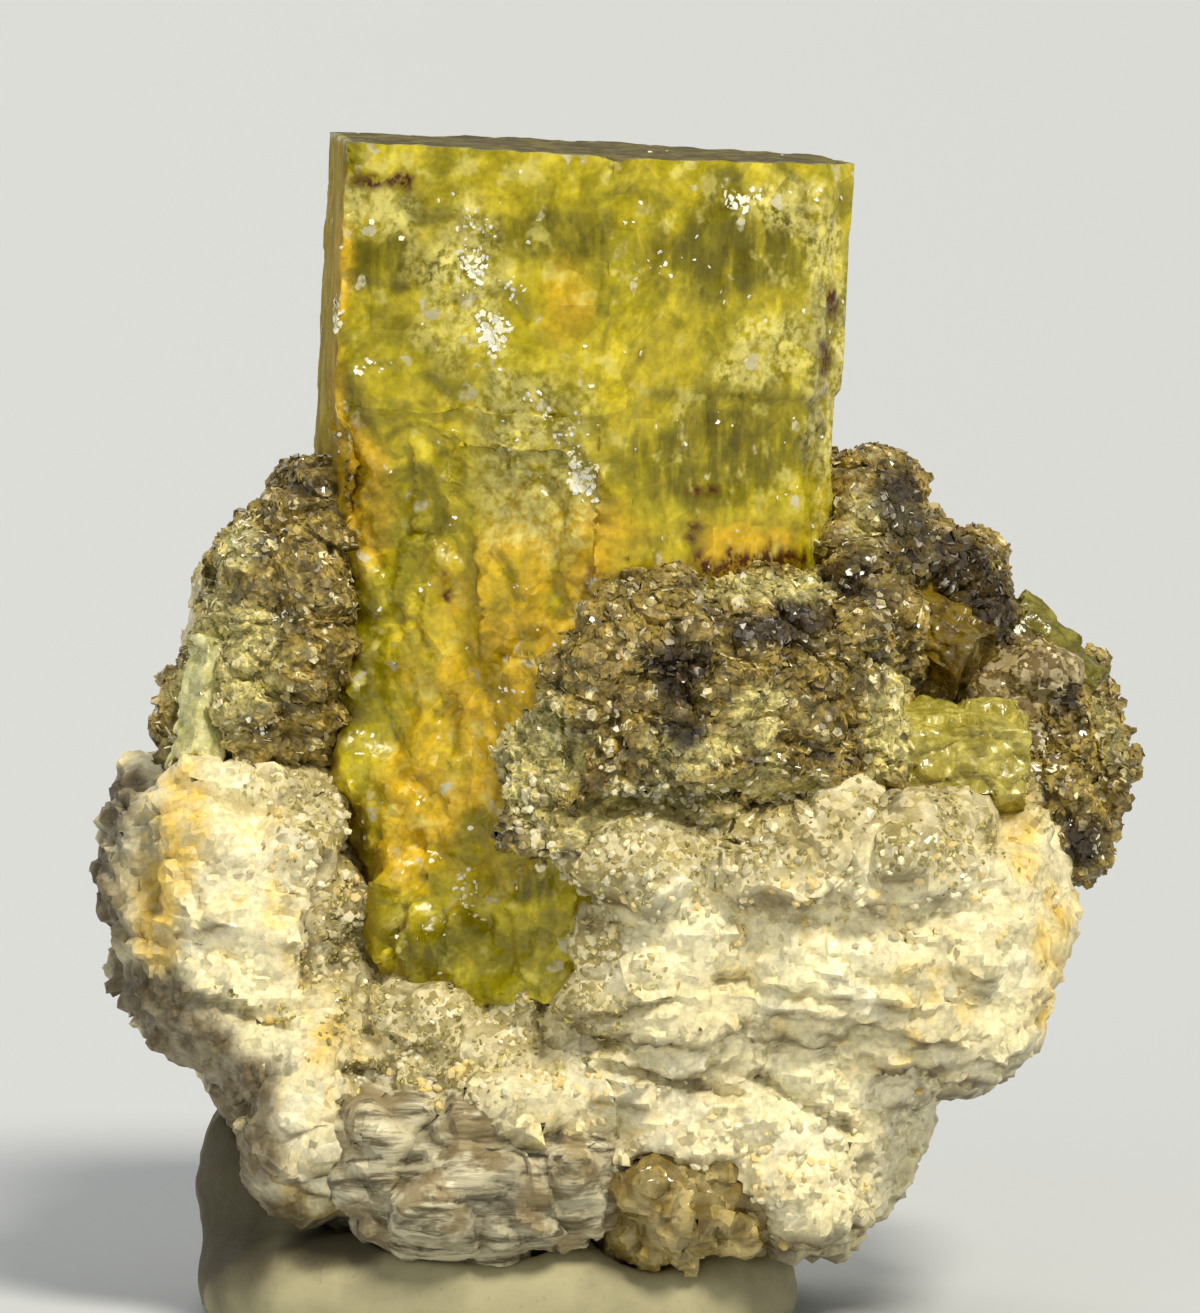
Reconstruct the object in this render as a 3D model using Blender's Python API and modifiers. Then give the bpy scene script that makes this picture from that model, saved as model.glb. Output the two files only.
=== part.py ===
"""A heliodor specimen: one stout golden beryl crystal in feldspar and mica, set upright in a lump of putty.

Blender script in metres, +Z up. The viewer looks along +Y, with +X to the right.
The origin is the middle of the putty's flat foot.
"""

import math
import random

import bmesh
import bpy
from mathutils import Matrix, Vector, noise

MM = 0.001

# Driving dimensions
CRYSTAL_RADIUS = 14.4 * MM  # axis to prism edge
CRYSTAL_TOP = 57.9 * MM  # height of the flat termination at the axis
CRYSTAL_FOOT = 16.0 * MM  # height of the broken lower end at the axis
FOOT_START = 29.0 * MM  # below this height the prism narrows to its broken end
CRYSTAL_AXIS_X = 4.6 * MM  # the axis at the termination
CRYSTAL_LEAN = math.radians(2.9)  # the top leans to +X
CRYSTAL_TURN = math.radians(5.0)  # the front prism edge turned towards +X
BEVEL_FACE = 1.9 * MM  # width of the narrow second-order face on the right edge
FIT_GAP = 0.3 * MM  # clear space between neighbouring solids
ROCK_GAP = 0.45 * MM  # the same between two rough pieces, whose surfaces are less exact
PUTTY_GAP = 0.6 * MM  # the same between the rock and the seat pressed in the putty
PUTTY_WIDTH = 30.4 * MM
PUTTY_DEPTH = 26.0 * MM
PUTTY_PRESSED = 0.35 * MM  # everything lower than this is flat on the table

# The broken face and end of the crystal
BREAK_TOP = 46 * MM  # the left front face is sound above this height
BREAK_RUN = 10 * MM  # the break deepens over this height
BREAK_EDGE = 3.2 * MM  # the break ends this far right of the crystal's axis
FRONT_TAPER = 0.4 * MM  # how far the foot draws in at its front and back
SIDE_TAPER = 7.0 * MM  # how much further it draws in at its left and right
RING_SPACING = 1.7 * MM
BROKEN_RINGS = 19
SOUND_RING = 50.5 * MM  # the one ring between the broken part and the flat top

# How finely the rock masses are drawn
ROCK_GRAIN = 0.95 * MM
SMALL_GRAIN = 0.6 * MM
NOISE_SEED = 1795818578  # noise_vector follows the clock until it is given a seed
FLAT_ANGLE = math.radians(1.2)  # faces that differ by less are joined
GROOVE_WIDTH = 0.16  # of a block's own size
ROOM_ALLOWANCE = 1.35  # a cutter is grown by this much more than its gap, because thinning shrinks it
MATRIX_FACES = 2600
ALBITE_FACES = 460
QUARTZ_FACES = 280
PUTTY_FACES = 640
ROOM_FACES = 380  # triangles of the space cut out round a mica crust, the albite or the quartz
SEAT_FACES = 1800  # triangles of the feldspar's seat in the putty

AXIS_MIDDLE = Vector((CRYSTAL_AXIS_X, 0, CRYSTAL_TOP))


def clear_scene():
    for thing in list(bpy.data.objects):
        bpy.data.objects.remove(thing, do_unlink=True)


def new_collection(name):
    made = bpy.data.collections.new(name)
    bpy.context.scene.collection.children.link(made)
    return made


def material(name, colour, roughness, transmission=0.0):
    made = bpy.data.materials.new(name)
    made.use_nodes = True
    shader = made.node_tree.nodes["Principled BSDF"]
    shader.inputs["Base Color"].default_value = (*colour, 1)
    shader.inputs["Roughness"].default_value = roughness
    shader.inputs["Transmission Weight"].default_value = transmission
    return made


def add_object(name, mesh, collection):
    made = bpy.data.objects.new(name, mesh)
    collection.objects.link(made)
    return made


def from_bmesh(name, shape, collection):
    shape.normal_update()
    bmesh.ops.recalc_face_normals(shape, faces=shape.faces)
    mesh = bpy.data.meshes.new(name)
    shape.to_mesh(mesh)
    shape.free()
    return add_object(name, mesh, collection)


def bake_modifiers(thing):
    """Swap an object's mesh for its evaluated one, and drop the modifiers."""
    graph = bpy.context.evaluated_depsgraph_get()
    graph.update()
    mesh = bpy.data.meshes.new_from_object(thing.evaluated_get(graph))
    thing.modifiers.clear()
    thing.data = mesh
    return thing


def remesh(thing, grain):
    step = thing.modifiers.new("fuse", "REMESH")
    step.mode = "VOXEL"
    step.voxel_size = grain
    return bake_modifiers(thing)


def thin_out(thing, faces):
    """Collapse edges until about this many triangles are left."""
    triangles = sum(len(face.vertices) - 2 for face in thing.data.polygons)
    step = thing.modifiers.new("thin", "DECIMATE")
    step.ratio = min(1.0, faces / triangles)
    step.use_collapse_triangulate = True
    return bake_modifiers(thing)


def merge_flats(thing):
    """Join the faces that lie in one plane."""
    step = thing.modifiers.new("flats", "DECIMATE")
    step.decimate_type = "DISSOLVE"
    step.angle_limit = FLAT_ANGLE
    return bake_modifiers(thing)


def move_points(thing, rule):
    """Move each point by rule(place, normal), both taken before any point moves."""
    mesh = thing.data
    moves = [rule(point.co.copy(), point.normal.copy()) for point in mesh.vertices]
    for point, move in zip(mesh.vertices, moves):
        point.co += move
    mesh.update()
    return thing


# Rock masses: rounded boxes fused into one body, then broken up by lumps, cells and ledges


def add_lobe(shape, centre, half, boxiness=2.6, turn=0.0, tilt=0.0):
    """A rounded box with these half sizes in millimetres, turned about Z and then tilted about Y."""
    place = Matrix.Rotation(tilt, 3, "Y") @ Matrix.Rotation(turn, 3, "Z")
    points = bmesh.ops.create_icosphere(shape, subdivisions=4, radius=1)["verts"]
    for point in points:
        ray = point.co.normalized()
        reach = sum(abs(a) ** boxiness for a in ray) ** (-1 / boxiness)
        at = Vector([ray[i] * reach * half[i] * MM for i in range(3)])
        point.co = place @ at + Vector(centre) * MM


def fused_lobes(name, lobes, grain, collection):
    shape = bmesh.new()
    for lobe in lobes:
        add_lobe(shape, **lobe)
    return remesh(from_bmesh(name, shape, collection), grain)


def lumps(place, size, height, seed):
    """Smooth uneven swelling."""
    return height * noise.fractal(place / size + Vector((seed, 0, 0)), 0.9, 2.1, 3)


def cells(place, size, depth, seed):
    """Grooves along the borders of irregular blocks."""
    near = noise.voronoi(place / size + Vector((0, seed, 0)))[0]
    return -depth * math.exp(-(((near[1] - near[0]) / GROOVE_WIDTH) ** 2))


def ledge(place, across, step, sharpness):
    """Shift along the cleavage direction that gathers the surface into flat treads."""
    height = place.dot(across) / step
    return (round(height) - height) * step * sharpness


def break_up(thing, size, height, block, groove, across, step, sharpness, seed):
    """Roughen a fused mass into rock. Sizes are in metres."""
    across = Vector(across).normalized()

    def rule(place, normal):
        wander = noise.noise_vector(place / size) * step * 0.7
        out = lumps(place, size, height, seed) + cells(place + wander, block, groove, seed)
        return normal * out + across * ledge(place + wander, across, step, sharpness)

    return move_points(thing, rule)


def largest_body(thing):
    """Keep the largest piece of a mesh, and drop the crumbs that a cut leaves."""
    shape = bmesh.new()
    shape.from_mesh(thing.data)
    todo = set(shape.verts)
    bodies = []
    while todo:
        front = [todo.pop()]
        body = []
        while front:
            point = front.pop()
            body.append(point)
            for edge in point.link_edges:
                other = edge.other_vert(point)
                if other in todo:
                    todo.remove(other)
                    front.append(other)
        bodies.append(body)
    bodies.sort(key=len)
    for body in bodies[:-1]:
        bmesh.ops.delete(shape, geom=body, context="VERTS")
    shape.to_mesh(thing.data)
    shape.free()
    return thing


def grown(thing, gap, grain, faces, cutters):
    """A cutter that stands this far outside an object all round."""
    made = add_object(thing.name + "_room", thing.data.copy(), cutters)
    remesh(made, grain)
    move_points(made, lambda place, normal: normal * (gap * ROOM_ALLOWANCE))
    remesh(made, grain)
    thin_out(made, faces)
    as_cutter(made)
    return made


def as_cutter(thing):
    thing.hide_render = True
    thing.display_type = "WIRE"


def cut(thing, *cutters):
    for cutter in cutters:
        step = thing.modifiers.new("cut", "BOOLEAN")
        step.operation = "DIFFERENCE"
        step.solver = "EXACT"
        step.object = cutter
        bake_modifiers(thing)
    return largest_body(thing)


# The crystal


def prism_corners(radius):
    """Plan of the prism, anticlockwise from above, with the narrow face on the front right edge."""
    corners = []
    for count in range(6):
        angle = CRYSTAL_TURN + math.radians(60 * count)
        corners.append(Vector((radius * math.sin(angle), -radius * math.cos(angle), 0)))
    front, right, back = corners[0], corners[1], corners[2]
    share = BEVEL_FACE / (front - right).length
    corners[1:2] = [right.lerp(front, share), right.lerp(back, share * 0.6)]
    return corners


def prism_rings(corners, splits, heights):
    """Rings of points up the prism, each side split into equal parts."""
    plan = []
    for here, after, parts in zip(corners, corners[1:] + corners[:1], splits):
        plan += [here.lerp(after, part / parts) for part in range(parts)]
    return [[point + Vector((0, 0, height)) for point in plan] for height in heights]


def loft(name, rings, collection):
    """Skin over rings of equal count, closed by a fan at each end."""
    shape = bmesh.new()
    rows = [[shape.verts.new(point) for point in ring] for ring in rings]
    count = len(rows[0])
    for low, high in zip(rows, rows[1:]):
        for i in range(count):
            after = (i + 1) % count
            shape.faces.new((low[i], low[after], high[after], high[i]))
    for row in (rows[0], rows[-1]):
        hub = shape.verts.new(sum((point.co for point in row), Vector()) / count)
        for i in range(count):
            shape.faces.new((row[i], row[(i + 1) % count], hub))
    return from_bmesh(name, shape, collection)


def in_crystal_frame(place):
    """A point given from the crystal's own axis, brought to where the crystal stands."""
    return Matrix.Rotation(CRYSTAL_LEAN, 3, "Y") @ (place - Vector((0, 0, CRYSTAL_TOP))) + AXIS_MIDDLE


def scoops(count, widths, depths, seed):
    """Shallow bowls in the face: centre across, centre up, radius and depth."""
    draw = random.Random(seed)
    return [
        (
            draw.uniform(-13.5, 2.5) * MM,
            draw.uniform(14, 43) * MM,
            draw.uniform(*widths) * MM,
            draw.uniform(*depths) * MM,
        )
        for _ in range(count)
    ]


# Parts that each side of the prism is split into, from the right front face round to the left front one
FACE_SPLITS = [6, 1, 3, 2, 2, 4, 9]
ROOM_SPLITS = [3, 1, 3, 2, 2, 4, 3]
BROKEN_FACE = scoops(34, (2.6, 6.0), (0.5, 1.5), 7)


def bite(across, up):
    """How deep the broken left front face is at this place."""
    deepest = 0.0
    for left, height, reach, depth in BROKEN_FACE:
        share = math.hypot(across - left, (up - height) * 0.75) / reach
        deepest = max(deepest, depth * (1 - share * share))
    return deepest


def fade(value, start, end):
    """0 before start, 1 after end, smooth between."""
    share = min(1.0, max(0.0, (value - start) / (end - start)))
    return share * share * (3 - 2 * share)


def narrow_foot(point):
    """Draw the lower end of the prism in to a wedge, more at its left and right than at its front."""
    foot = fade(FOOT_START - point.z, 0, FOOT_START - CRYSTAL_FOOT)
    side = abs(point.x) / CRYSTAL_RADIUS
    taper = FRONT_TAPER + SIDE_TAPER * side * side
    return point - Vector((point.x, point.y, 0)).normalized() * foot * taper


def chip_crystal(point):
    """Break the lower left front of the prism inwards, and leave its lower end uneven."""
    inward = -Vector((point.x, point.y, 0)).normalized()
    on_left_front = fade(BREAK_EDGE - point.x, 0, 2.5 * MM) * fade(-point.y, -1 * MM, 4 * MM)
    low = fade(BREAK_TOP - point.z, 0, BREAK_RUN)
    depth = bite(point.x, point.z) * on_left_front * low
    end = fade(CRYSTAL_FOOT + 3 * MM - point.z, 0, 3 * MM)
    uneven = 0.5 * MM * (1 + noise.noise(point / (3.5 * MM))) * end
    return narrow_foot(point) + inward * depth + Vector((0, 0, uneven))


def make_crystal(collection):
    heights = [CRYSTAL_FOOT + 0.1 * MM + i * RING_SPACING for i in range(BROKEN_RINGS)]
    heights += [SOUND_RING, CRYSTAL_TOP]
    rings = prism_rings(prism_corners(CRYSTAL_RADIUS), FACE_SPLITS, heights)
    shaped = [[in_crystal_frame(chip_crystal(point)) for point in ring] for ring in rings]
    return merge_flats(loft("heliodor_crystal", shaped, collection))


def make_crystal_room(cutters):
    """The nominal prism with the fit gap all round, which cuts the crystal's seat in the rock."""
    radius = CRYSTAL_RADIUS + FIT_GAP / math.cos(math.radians(30))
    steps = 8
    rise = (FOOT_START - CRYSTAL_FOOT) / steps
    heights = [CRYSTAL_FOOT - FIT_GAP] + [CRYSTAL_FOOT + rise * i for i in range(1, steps + 1)]
    rings = prism_rings(prism_corners(radius), ROOM_SPLITS, [*heights, CRYSTAL_TOP + 5 * MM])
    shaped = [[in_crystal_frame(narrow_foot(point)) for point in ring] for ring in rings]
    room = merge_flats(loft("crystal_room", shaped, cutters))
    as_cutter(room)
    return room


# The matrix and what grows in it


def lobe(centre, half, boxiness=2.6, turn=0.0, tilt=0.0):
    return {
        "centre": centre,
        "half": half,
        "boxiness": boxiness,
        "turn": math.radians(turn),
        "tilt": math.radians(tilt),
    }


MATRIX_LOBES = [
    # the mass behind and below the crystal
    lobe((5.0, 4.4, 22.0), (19.0, 11.6, 14.0), 2.8),
    lobe((4.0, 12.0, 29.0), (14.5, 6.6, 11.0), 2.6),
    lobe((4.8, -0.5, 10.6), (13.6, 12.6, 7.2), 3.0),
    # the left flank, and the ledge that runs from it down to the foot
    lobe((-13.2, -1.2, 21.0), (6.9, 10.4, 7.6), 2.8, tilt=-8),
    lobe((-9.4, -2.0, 13.0), (5.0, 9.6, 8.6), 2.8, tilt=-24),
    lobe((-9.6, 5.0, 30.0), (6.6, 9.0, 9.0), 2.6, tilt=12),
    # the right flank and the shoulder that hides the foot of the crystal
    lobe((18.2, -4.2, 19.8), (9.8, 11.6, 7.6), 3.0, tilt=8),
    lobe((14.8, -4.0, 11.6), (6.4, 9.4, 7.0), 2.8, tilt=24),
    lobe((8.8, -11.4, 19.4), (4.4, 4.9, 5.6), 2.6, turn=15),
    lobe((24.0, 1.5, 26.0), (6.4, 9.0, 7.2), 2.6, tilt=25),
    lobe((18.6, 5.5, 31.0), (7.0, 8.6, 8.6), 2.6),
]


def make_matrix(collection):
    rock = fused_lobes("feldspar_matrix", MATRIX_LOBES, ROCK_GRAIN, collection)
    break_up(
        rock,
        size=9.0 * MM,
        height=1.4 * MM,
        block=9.0 * MM,
        groove=0.7 * MM,
        across=(0.2, -0.4, 0.9),
        step=3.6 * MM,
        sharpness=0.42,
        seed=3.0,
    )
    return thin_out(rock, MATRIX_FACES)


MICA_LOBES = {
    "mica_left": [
        lobe((-10.6, -2.4, 33.0), (3.9, 6.6, 7.0), 2.4, tilt=10),
        lobe((-9.2, -0.8, 38.8), (2.6, 5.4, 3.6), 2.4, tilt=20),
        lobe((-12.6, -2.6, 29.2), (3.8, 6.4, 4.0), 2.4),
    ],
    "mica_front": [
        lobe((8.6, -12.0, 31.0), (6.4, 5.2, 6.4), 2.4, turn=10),
        lobe((13.6, -9.6, 31.0), (5.6, 5.6, 6.2), 2.4, turn=20),
        lobe((3.6, -13.6, 27.6), (3.6, 2.8, 4.0), 2.3),
        lobe((10.8, -12.6, 26.9), (7.0, 4.4, 3.0), 2.4),
        lobe((17.8, -9.0, 27.6), (3.4, 4.6, 4.4), 2.4),
    ],
    "mica_ridge": [
        lobe((18.4, 0.0, 37.8), (3.0, 5.6, 4.6), 2.4, tilt=-15),
        lobe((21.2, 0.2, 34.4), (4.2, 6.0, 4.2), 2.4, tilt=38),
        lobe((18.2, -5.8, 34.4), (3.0, 3.6, 3.2), 2.3),
    ],
    "mica_book": [
        lobe((29.0, -2.0, 26.8), (2.8, 6.0, 4.6), 2.6, tilt=6),
        lobe((28.4, 2.5, 28.0), (2.6, 4.6, 3.8), 2.6),
    ],
}

MICA_FACES = {"mica_left": 400, "mica_front": 620, "mica_ridge": 420, "mica_book": 280}


def make_mica(name, seed, collection):
    """A crust of stacked mica plates, so its ledges are close and sharp."""
    crust = fused_lobes(name, MICA_LOBES[name], SMALL_GRAIN, collection)
    break_up(
        crust,
        size=4.0 * MM,
        height=0.8 * MM,
        block=3.4 * MM,
        groove=0.5 * MM,
        across=(0.45, -0.35, 0.82),
        step=1.9 * MM,
        sharpness=0.5,
        seed=seed,
    )
    return thin_out(crust, MICA_FACES[name])


# Small beryl crystals in the flanks: centre and half sizes (the second along its axis) in millimetres,
# then the turns in degrees about Z, Y and X
SMALL_BERYLS = {
    "beryl_block": ((22.4, -8.8, 28.2), (3.9, 3.4, 3.3), 96, 4, 0),
    "beryl_wedge": ((27.3, 0.2, 32.5), (2.9, 2.9, 2.1), 84, 0, 42),
    "beryl_olive": ((21.6, -5.2, 34.1), (2.6, 2.6, 2.2), 74, 12, 30),
    "beryl_pale": ((-14.1, -6.0, 30.6), (1.7, 3.3, 2.4), -12, 8, 80),
}


def beryl_block(centre, half, gap, turn, lean, nod):
    """A short six-sided crystal lying with its axis front to back, as a closed bmesh."""
    shape = bmesh.new()
    bmesh.ops.create_cone(shape, cap_ends=True, segments=6, radius1=1, radius2=0.93, depth=2)
    place = (
        Matrix.Rotation(math.radians(turn), 3, "Z")
        @ Matrix.Rotation(math.radians(lean), 3, "Y")
        @ Matrix.Rotation(math.radians(nod), 3, "X")
    )
    lying = Matrix.Rotation(math.radians(90), 3, "X")
    for point in shape.verts:
        at = lying @ point.co
        size = [at[i] * (half[i] * MM + gap) for i in range(3)]
        point.co = place @ Vector(size) + Vector(centre) * MM
    return shape


def make_small_beryl(name, collection, cutters):
    centre, half, turn, lean, nod = SMALL_BERYLS[name]
    crystal = from_bmesh(name, beryl_block(centre, half, 0.0, turn, lean, nod), collection)
    room_gap = FIT_GAP / math.cos(math.radians(30))
    room = from_bmesh(name + "_room", beryl_block(centre, half, room_gap, turn, lean, nod), cutters)
    as_cutter(room)
    return crystal, room


def make_albite(collection):
    """The white, fibrous lump low on the front, drawn out to a point at its right."""
    lobes = [
        lobe((-1.4, -9.8, 7.6), (5.4, 4.4, 3.5), 2.4, tilt=4),
        lobe((-4.8, -8.8, 9.8), (3.0, 4.4, 2.8), 2.6, tilt=-24),
        lobe((3.2, -10.2, 8.0), (3.6, 3.6, 2.3), 2.0, tilt=-20),
        lobe((0.6, -9.8, 9.8), (4.4, 3.8, 2.0), 2.2, tilt=10),
    ]
    lump = fused_lobes("albite_lump", lobes, SMALL_GRAIN, collection)
    break_up(
        lump,
        size=2.6 * MM,
        height=0.8 * MM,
        block=2.6 * MM,
        groove=0.4 * MM,
        across=(-0.25, -0.4, 0.88),
        step=1.1 * MM,
        sharpness=0.6,
        seed=21.0,
    )
    return thin_out(lump, ALBITE_FACES)


def make_quartz(collection):
    """The glassy chunk beside the albite, broken in shells."""
    lobes = [
        lobe((9.0, -9.6, 7.0), (3.6, 4.0, 2.6), 4.0, turn=20, tilt=-16),
        lobe((11.4, -9.0, 6.4), (2.9, 3.8, 1.9), 4.0, turn=-14, tilt=22),
    ]
    lump = fused_lobes("quartz_chunk", lobes, SMALL_GRAIN, collection)
    break_up(
        lump,
        size=2.8 * MM,
        height=0.7 * MM,
        block=2.6 * MM,
        groove=0.35 * MM,
        across=(0.4, -0.6, 0.7),
        step=1.9 * MM,
        sharpness=0.75,
        seed=31.0,
    )
    return thin_out(lump, QUARTZ_FACES)


# The putty


def press_flat(thing, shallow):
    """Press everything lower than this onto the table."""
    for point in thing.data.vertices:
        if point.co.z < shallow:
            point.co.z = 0.0
    thing.data.update()


def make_putty(collection):
    """A thumbed lump with a flat foot, highest at the back left."""
    wide, deep = PUTTY_WIDTH / MM / 2, PUTTY_DEPTH / MM / 2
    lobes = [
        lobe((0.0, 0.0, 1.6), (wide, deep, 4.0), 2.7),
        lobe((-wide * 0.58, 3.0, 5.0), (wide * 0.42, deep * 0.62, 6.6), 2.4, tilt=-4),
        lobe((wide * 0.5, 3.5, 4.2), (wide * 0.46, deep * 0.6, 4.6), 2.4),
        lobe((0.0, 5.5, 4.4), (wide * 0.7, deep * 0.56, 5.6), 2.4),
    ]
    putty = fused_lobes("putty_base", lobes, ROCK_GRAIN, collection)
    move_points(putty, lambda place, normal: normal * lumps(place, 9 * MM, 0.7 * MM, 41.0))
    press_flat(putty, PUTTY_PRESSED)
    thin_out(putty, PUTTY_FACES)
    press_flat(putty, PUTTY_PRESSED)
    return putty


def finish(things, finishes):
    for thing in things:
        thing.data.materials.clear()
        thing.data.materials.append(finishes[thing.name.split("_")[0]])
        thing.data.shade_smooth()
        thing.data.set_sharp_from_angle(angle=math.radians(25))


def main():
    noise.seed_set(NOISE_SEED)
    clear_scene()
    parts = new_collection("heliodor_specimen")
    cutters = new_collection("cutters")
    finishes = {
        "heliodor": material("heliodor", (0.72, 0.58, 0.07), 0.2, 0.6),
        "beryl": material("small_beryl", (0.55, 0.52, 0.16), 0.25, 0.5),
        "feldspar": material("feldspar", (0.83, 0.76, 0.55), 0.6),
        "mica": material("mica", (0.24, 0.18, 0.1), 0.35),
        "albite": material("albite", (0.66, 0.63, 0.53), 0.55),
        "quartz": material("quartz", (0.6, 0.53, 0.3), 0.2, 0.4),
        "putty": material("putty", (0.45, 0.42, 0.31), 0.85),
    }

    crystal = make_crystal(parts)
    crystal_room = make_crystal_room(cutters)
    matrix = make_matrix(parts)
    beryls = {name: make_small_beryl(name, parts, cutters) for name in SMALL_BERYLS}
    beryl_rooms = [room for _, room in beryls.values()]
    micas = [make_mica(name, 11.0 + i, parts) for i, name in enumerate(MICA_LOBES)]
    albite = make_albite(parts)
    quartz = make_quartz(parts)
    putty = make_putty(parts)

    rooms = {}
    for thing in (*micas, albite, quartz):
        rooms[thing.name] = grown(thing, ROCK_GAP, SMALL_GRAIN, ROOM_FACES, cutters)
    cut(matrix, crystal_room, *beryl_rooms, *rooms.values())
    for count, mica in enumerate(micas):
        others = [rooms[other.name] for other in micas[:count]]
        cut(mica, crystal_room, *beryl_rooms, *others)
    cut(quartz, rooms["albite_lump"])
    cut(albite, crystal_room)
    for thing, faces in ((matrix, SEAT_FACES), (albite, ROOM_FACES), (quartz, ROOM_FACES)):
        cut(putty, grown(thing, PUTTY_GAP, SMALL_GRAIN, faces, cutters))

    small = [thing for thing, _ in beryls.values()]
    finish([crystal, matrix, *small, *micas, albite, quartz, putty], finishes)


main()
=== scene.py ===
"""Heliodor specimen: the looks of each piece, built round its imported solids, as a Blender add-on.

Metres, +Z up. The viewer looks along +Y with +X to the right. The origin is the middle of the putty's foot.
"""

import math
import random

import bmesh
import bpy
from bpy.props import FloatProperty, FloatVectorProperty, IntProperty, PointerProperty
from bpy.types import Operator, Panel, PropertyGroup
from mathutils import Euler, Matrix, Vector, noise


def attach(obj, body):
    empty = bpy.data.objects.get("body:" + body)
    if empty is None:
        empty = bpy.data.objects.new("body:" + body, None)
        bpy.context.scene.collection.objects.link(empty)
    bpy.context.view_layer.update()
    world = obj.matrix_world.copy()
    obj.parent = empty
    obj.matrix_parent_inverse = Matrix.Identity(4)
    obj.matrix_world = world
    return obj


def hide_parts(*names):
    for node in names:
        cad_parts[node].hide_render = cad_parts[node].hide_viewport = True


bl_info = {
    "name": "Heliodor specimen",
    "version": (1, 0, 0),
    "blender": (4, 5, 0),
    "location": "3D View > Sidebar > Heliodor",
    "description": "Builds a golden beryl crystal in feldspar and mica on a lump of putty",
    "category": "Add Mesh",
}

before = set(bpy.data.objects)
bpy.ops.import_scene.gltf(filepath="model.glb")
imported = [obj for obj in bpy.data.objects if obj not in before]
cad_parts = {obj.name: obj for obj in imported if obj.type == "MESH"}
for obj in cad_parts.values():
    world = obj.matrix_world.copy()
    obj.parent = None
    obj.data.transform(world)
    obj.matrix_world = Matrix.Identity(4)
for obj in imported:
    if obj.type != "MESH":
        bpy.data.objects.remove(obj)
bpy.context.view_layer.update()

MM = 0.001
BODY = "root"
# noise_vector follows the clock until it is given a seed
NOISE_SEED = 7
BERYL_IOR = 1.58
QUARTZ_IOR = 1.54
MICA_IOR = 1.6

# Where the crystal stands: its axis at the flat top, and its lean to +X
CRYSTAL_LEAN = math.radians(2.9)
CRYSTAL_TURN = math.radians(5.0)
CRYSTAL_AXIS = Vector((4.6 * MM, 0, 57.9 * MM))
CRYSTAL_RADIUS = 14.4 * MM
SIXTH_TURN = math.radians(60)


# Sizes and colours that a user would change


def length_property(name, description, default):
    return FloatProperty(name=name, description=description, default=default, unit="LENGTH", precision=5)


def colour_property(name, description, default):
    return FloatVectorProperty(name=name, description=description, subtype="COLOR", default=default)


class HELIODOR_PG_sizes(PropertyGroup):
    crystal_grain: length_property("Crystal grain", "Longest edge of the crystal's mesh", 0.5 * MM)
    rock_grain: length_property("Rock grain", "Spacing of the feldspar's surface points", 0.34 * MM)
    fine_grain: length_property("Fine grain", "Spacing of the points on mica, albite and quartz", 0.24 * MM)
    putty_grain: length_property("Putty grain", "Spacing of the putty's surface points", 0.46 * MM)
    flake_small: length_property("Smallest flake", "Width of the smallest mica flake", 0.2 * MM)
    flake_large: length_property("Largest flake", "Width of the largest mica flake", 0.7 * MM)
    veils: IntProperty(name="Veils", description="Healed cracks inside the crystal", default=90, min=0)


class HELIODOR_PG_colours(PropertyGroup):
    yellow: colour_property("Yellow", "The crystal's main colour", (0.9, 0.75, 0.03))
    deep: colour_property("Deep yellow", "The crystal's darker clouds", (0.5, 0.43, 0.004))
    olive: colour_property("Olive", "The crystal's clear zones", (0.22, 0.195, 0.0))
    orange: colour_property("Orange", "The crystal's iron-stained zones", (1.0, 0.64, 0.02))
    milky: colour_property("Milky", "The crystal's cloudy zones", (1.0, 0.9, 0.24))
    rust: colour_property("Rust", "Iron oxide in cracks", (0.11, 0.028, 0.004))
    feldspar: colour_property("Feldspar", "The feldspar's cream", (0.95, 0.85, 0.5))
    stain: colour_property("Stain", "Yellow iron stain on the feldspar", (0.92, 0.64, 0.13))
    grit: colour_property("Grit", "Fine mica in the feldspar", (0.38, 0.31, 0.11))
    mica: colour_property("Mica", "The mica's brown", (0.28, 0.2, 0.045))
    # Partly the mica's own silvery colour, partly painted sparkle
    silver: colour_property("Silver", "Mica flakes that catch the light", (0.84, 0.75, 0.42))
    putty: colour_property("Putty", "The putty's grey-green", (0.42, 0.385, 0.22))
    floor: colour_property("Floor", "The pale floor", (0.6, 0.63, 0.65))


class BuildingStep:
    """What every building step shares: it runs its own build with the scene's sizes and colours."""

    def execute(self, context):
        self.build(context.scene.heliodor_sizes, context.scene.heliodor_colours)
        return {"FINISHED"}


# Meshes


def new_piece(name, mesh):
    piece = bpy.data.objects.new(name, mesh)
    bpy.context.scene.collection.objects.link(piece)
    return piece


def solid_copy(name, node):
    """A new piece that starts as the node's own solid, with its loose triangles joined."""
    shape = bmesh.new()
    shape.from_mesh(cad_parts[node].data)
    bmesh.ops.remove_doubles(shape, verts=shape.verts, dist=1e-6)
    mesh = bpy.data.meshes.new(name)
    shape.to_mesh(mesh)
    shape.free()
    mesh.materials.clear()
    return new_piece(name, mesh)


def bake(piece):
    """Swap the piece's mesh for its evaluated one, and drop the modifiers."""
    graph = bpy.context.evaluated_depsgraph_get()
    graph.update()
    mesh = bpy.data.meshes.new_from_object(
        piece.evaluated_get(graph), preserve_all_data_layers=True, depsgraph=graph
    )
    piece.modifiers.clear()
    piece.data = mesh
    return piece


def remesh(piece, grain):
    step = piece.modifiers.new("even", "REMESH")
    step.mode = "VOXEL"
    step.voxel_size = grain
    return bake(piece)


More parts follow.
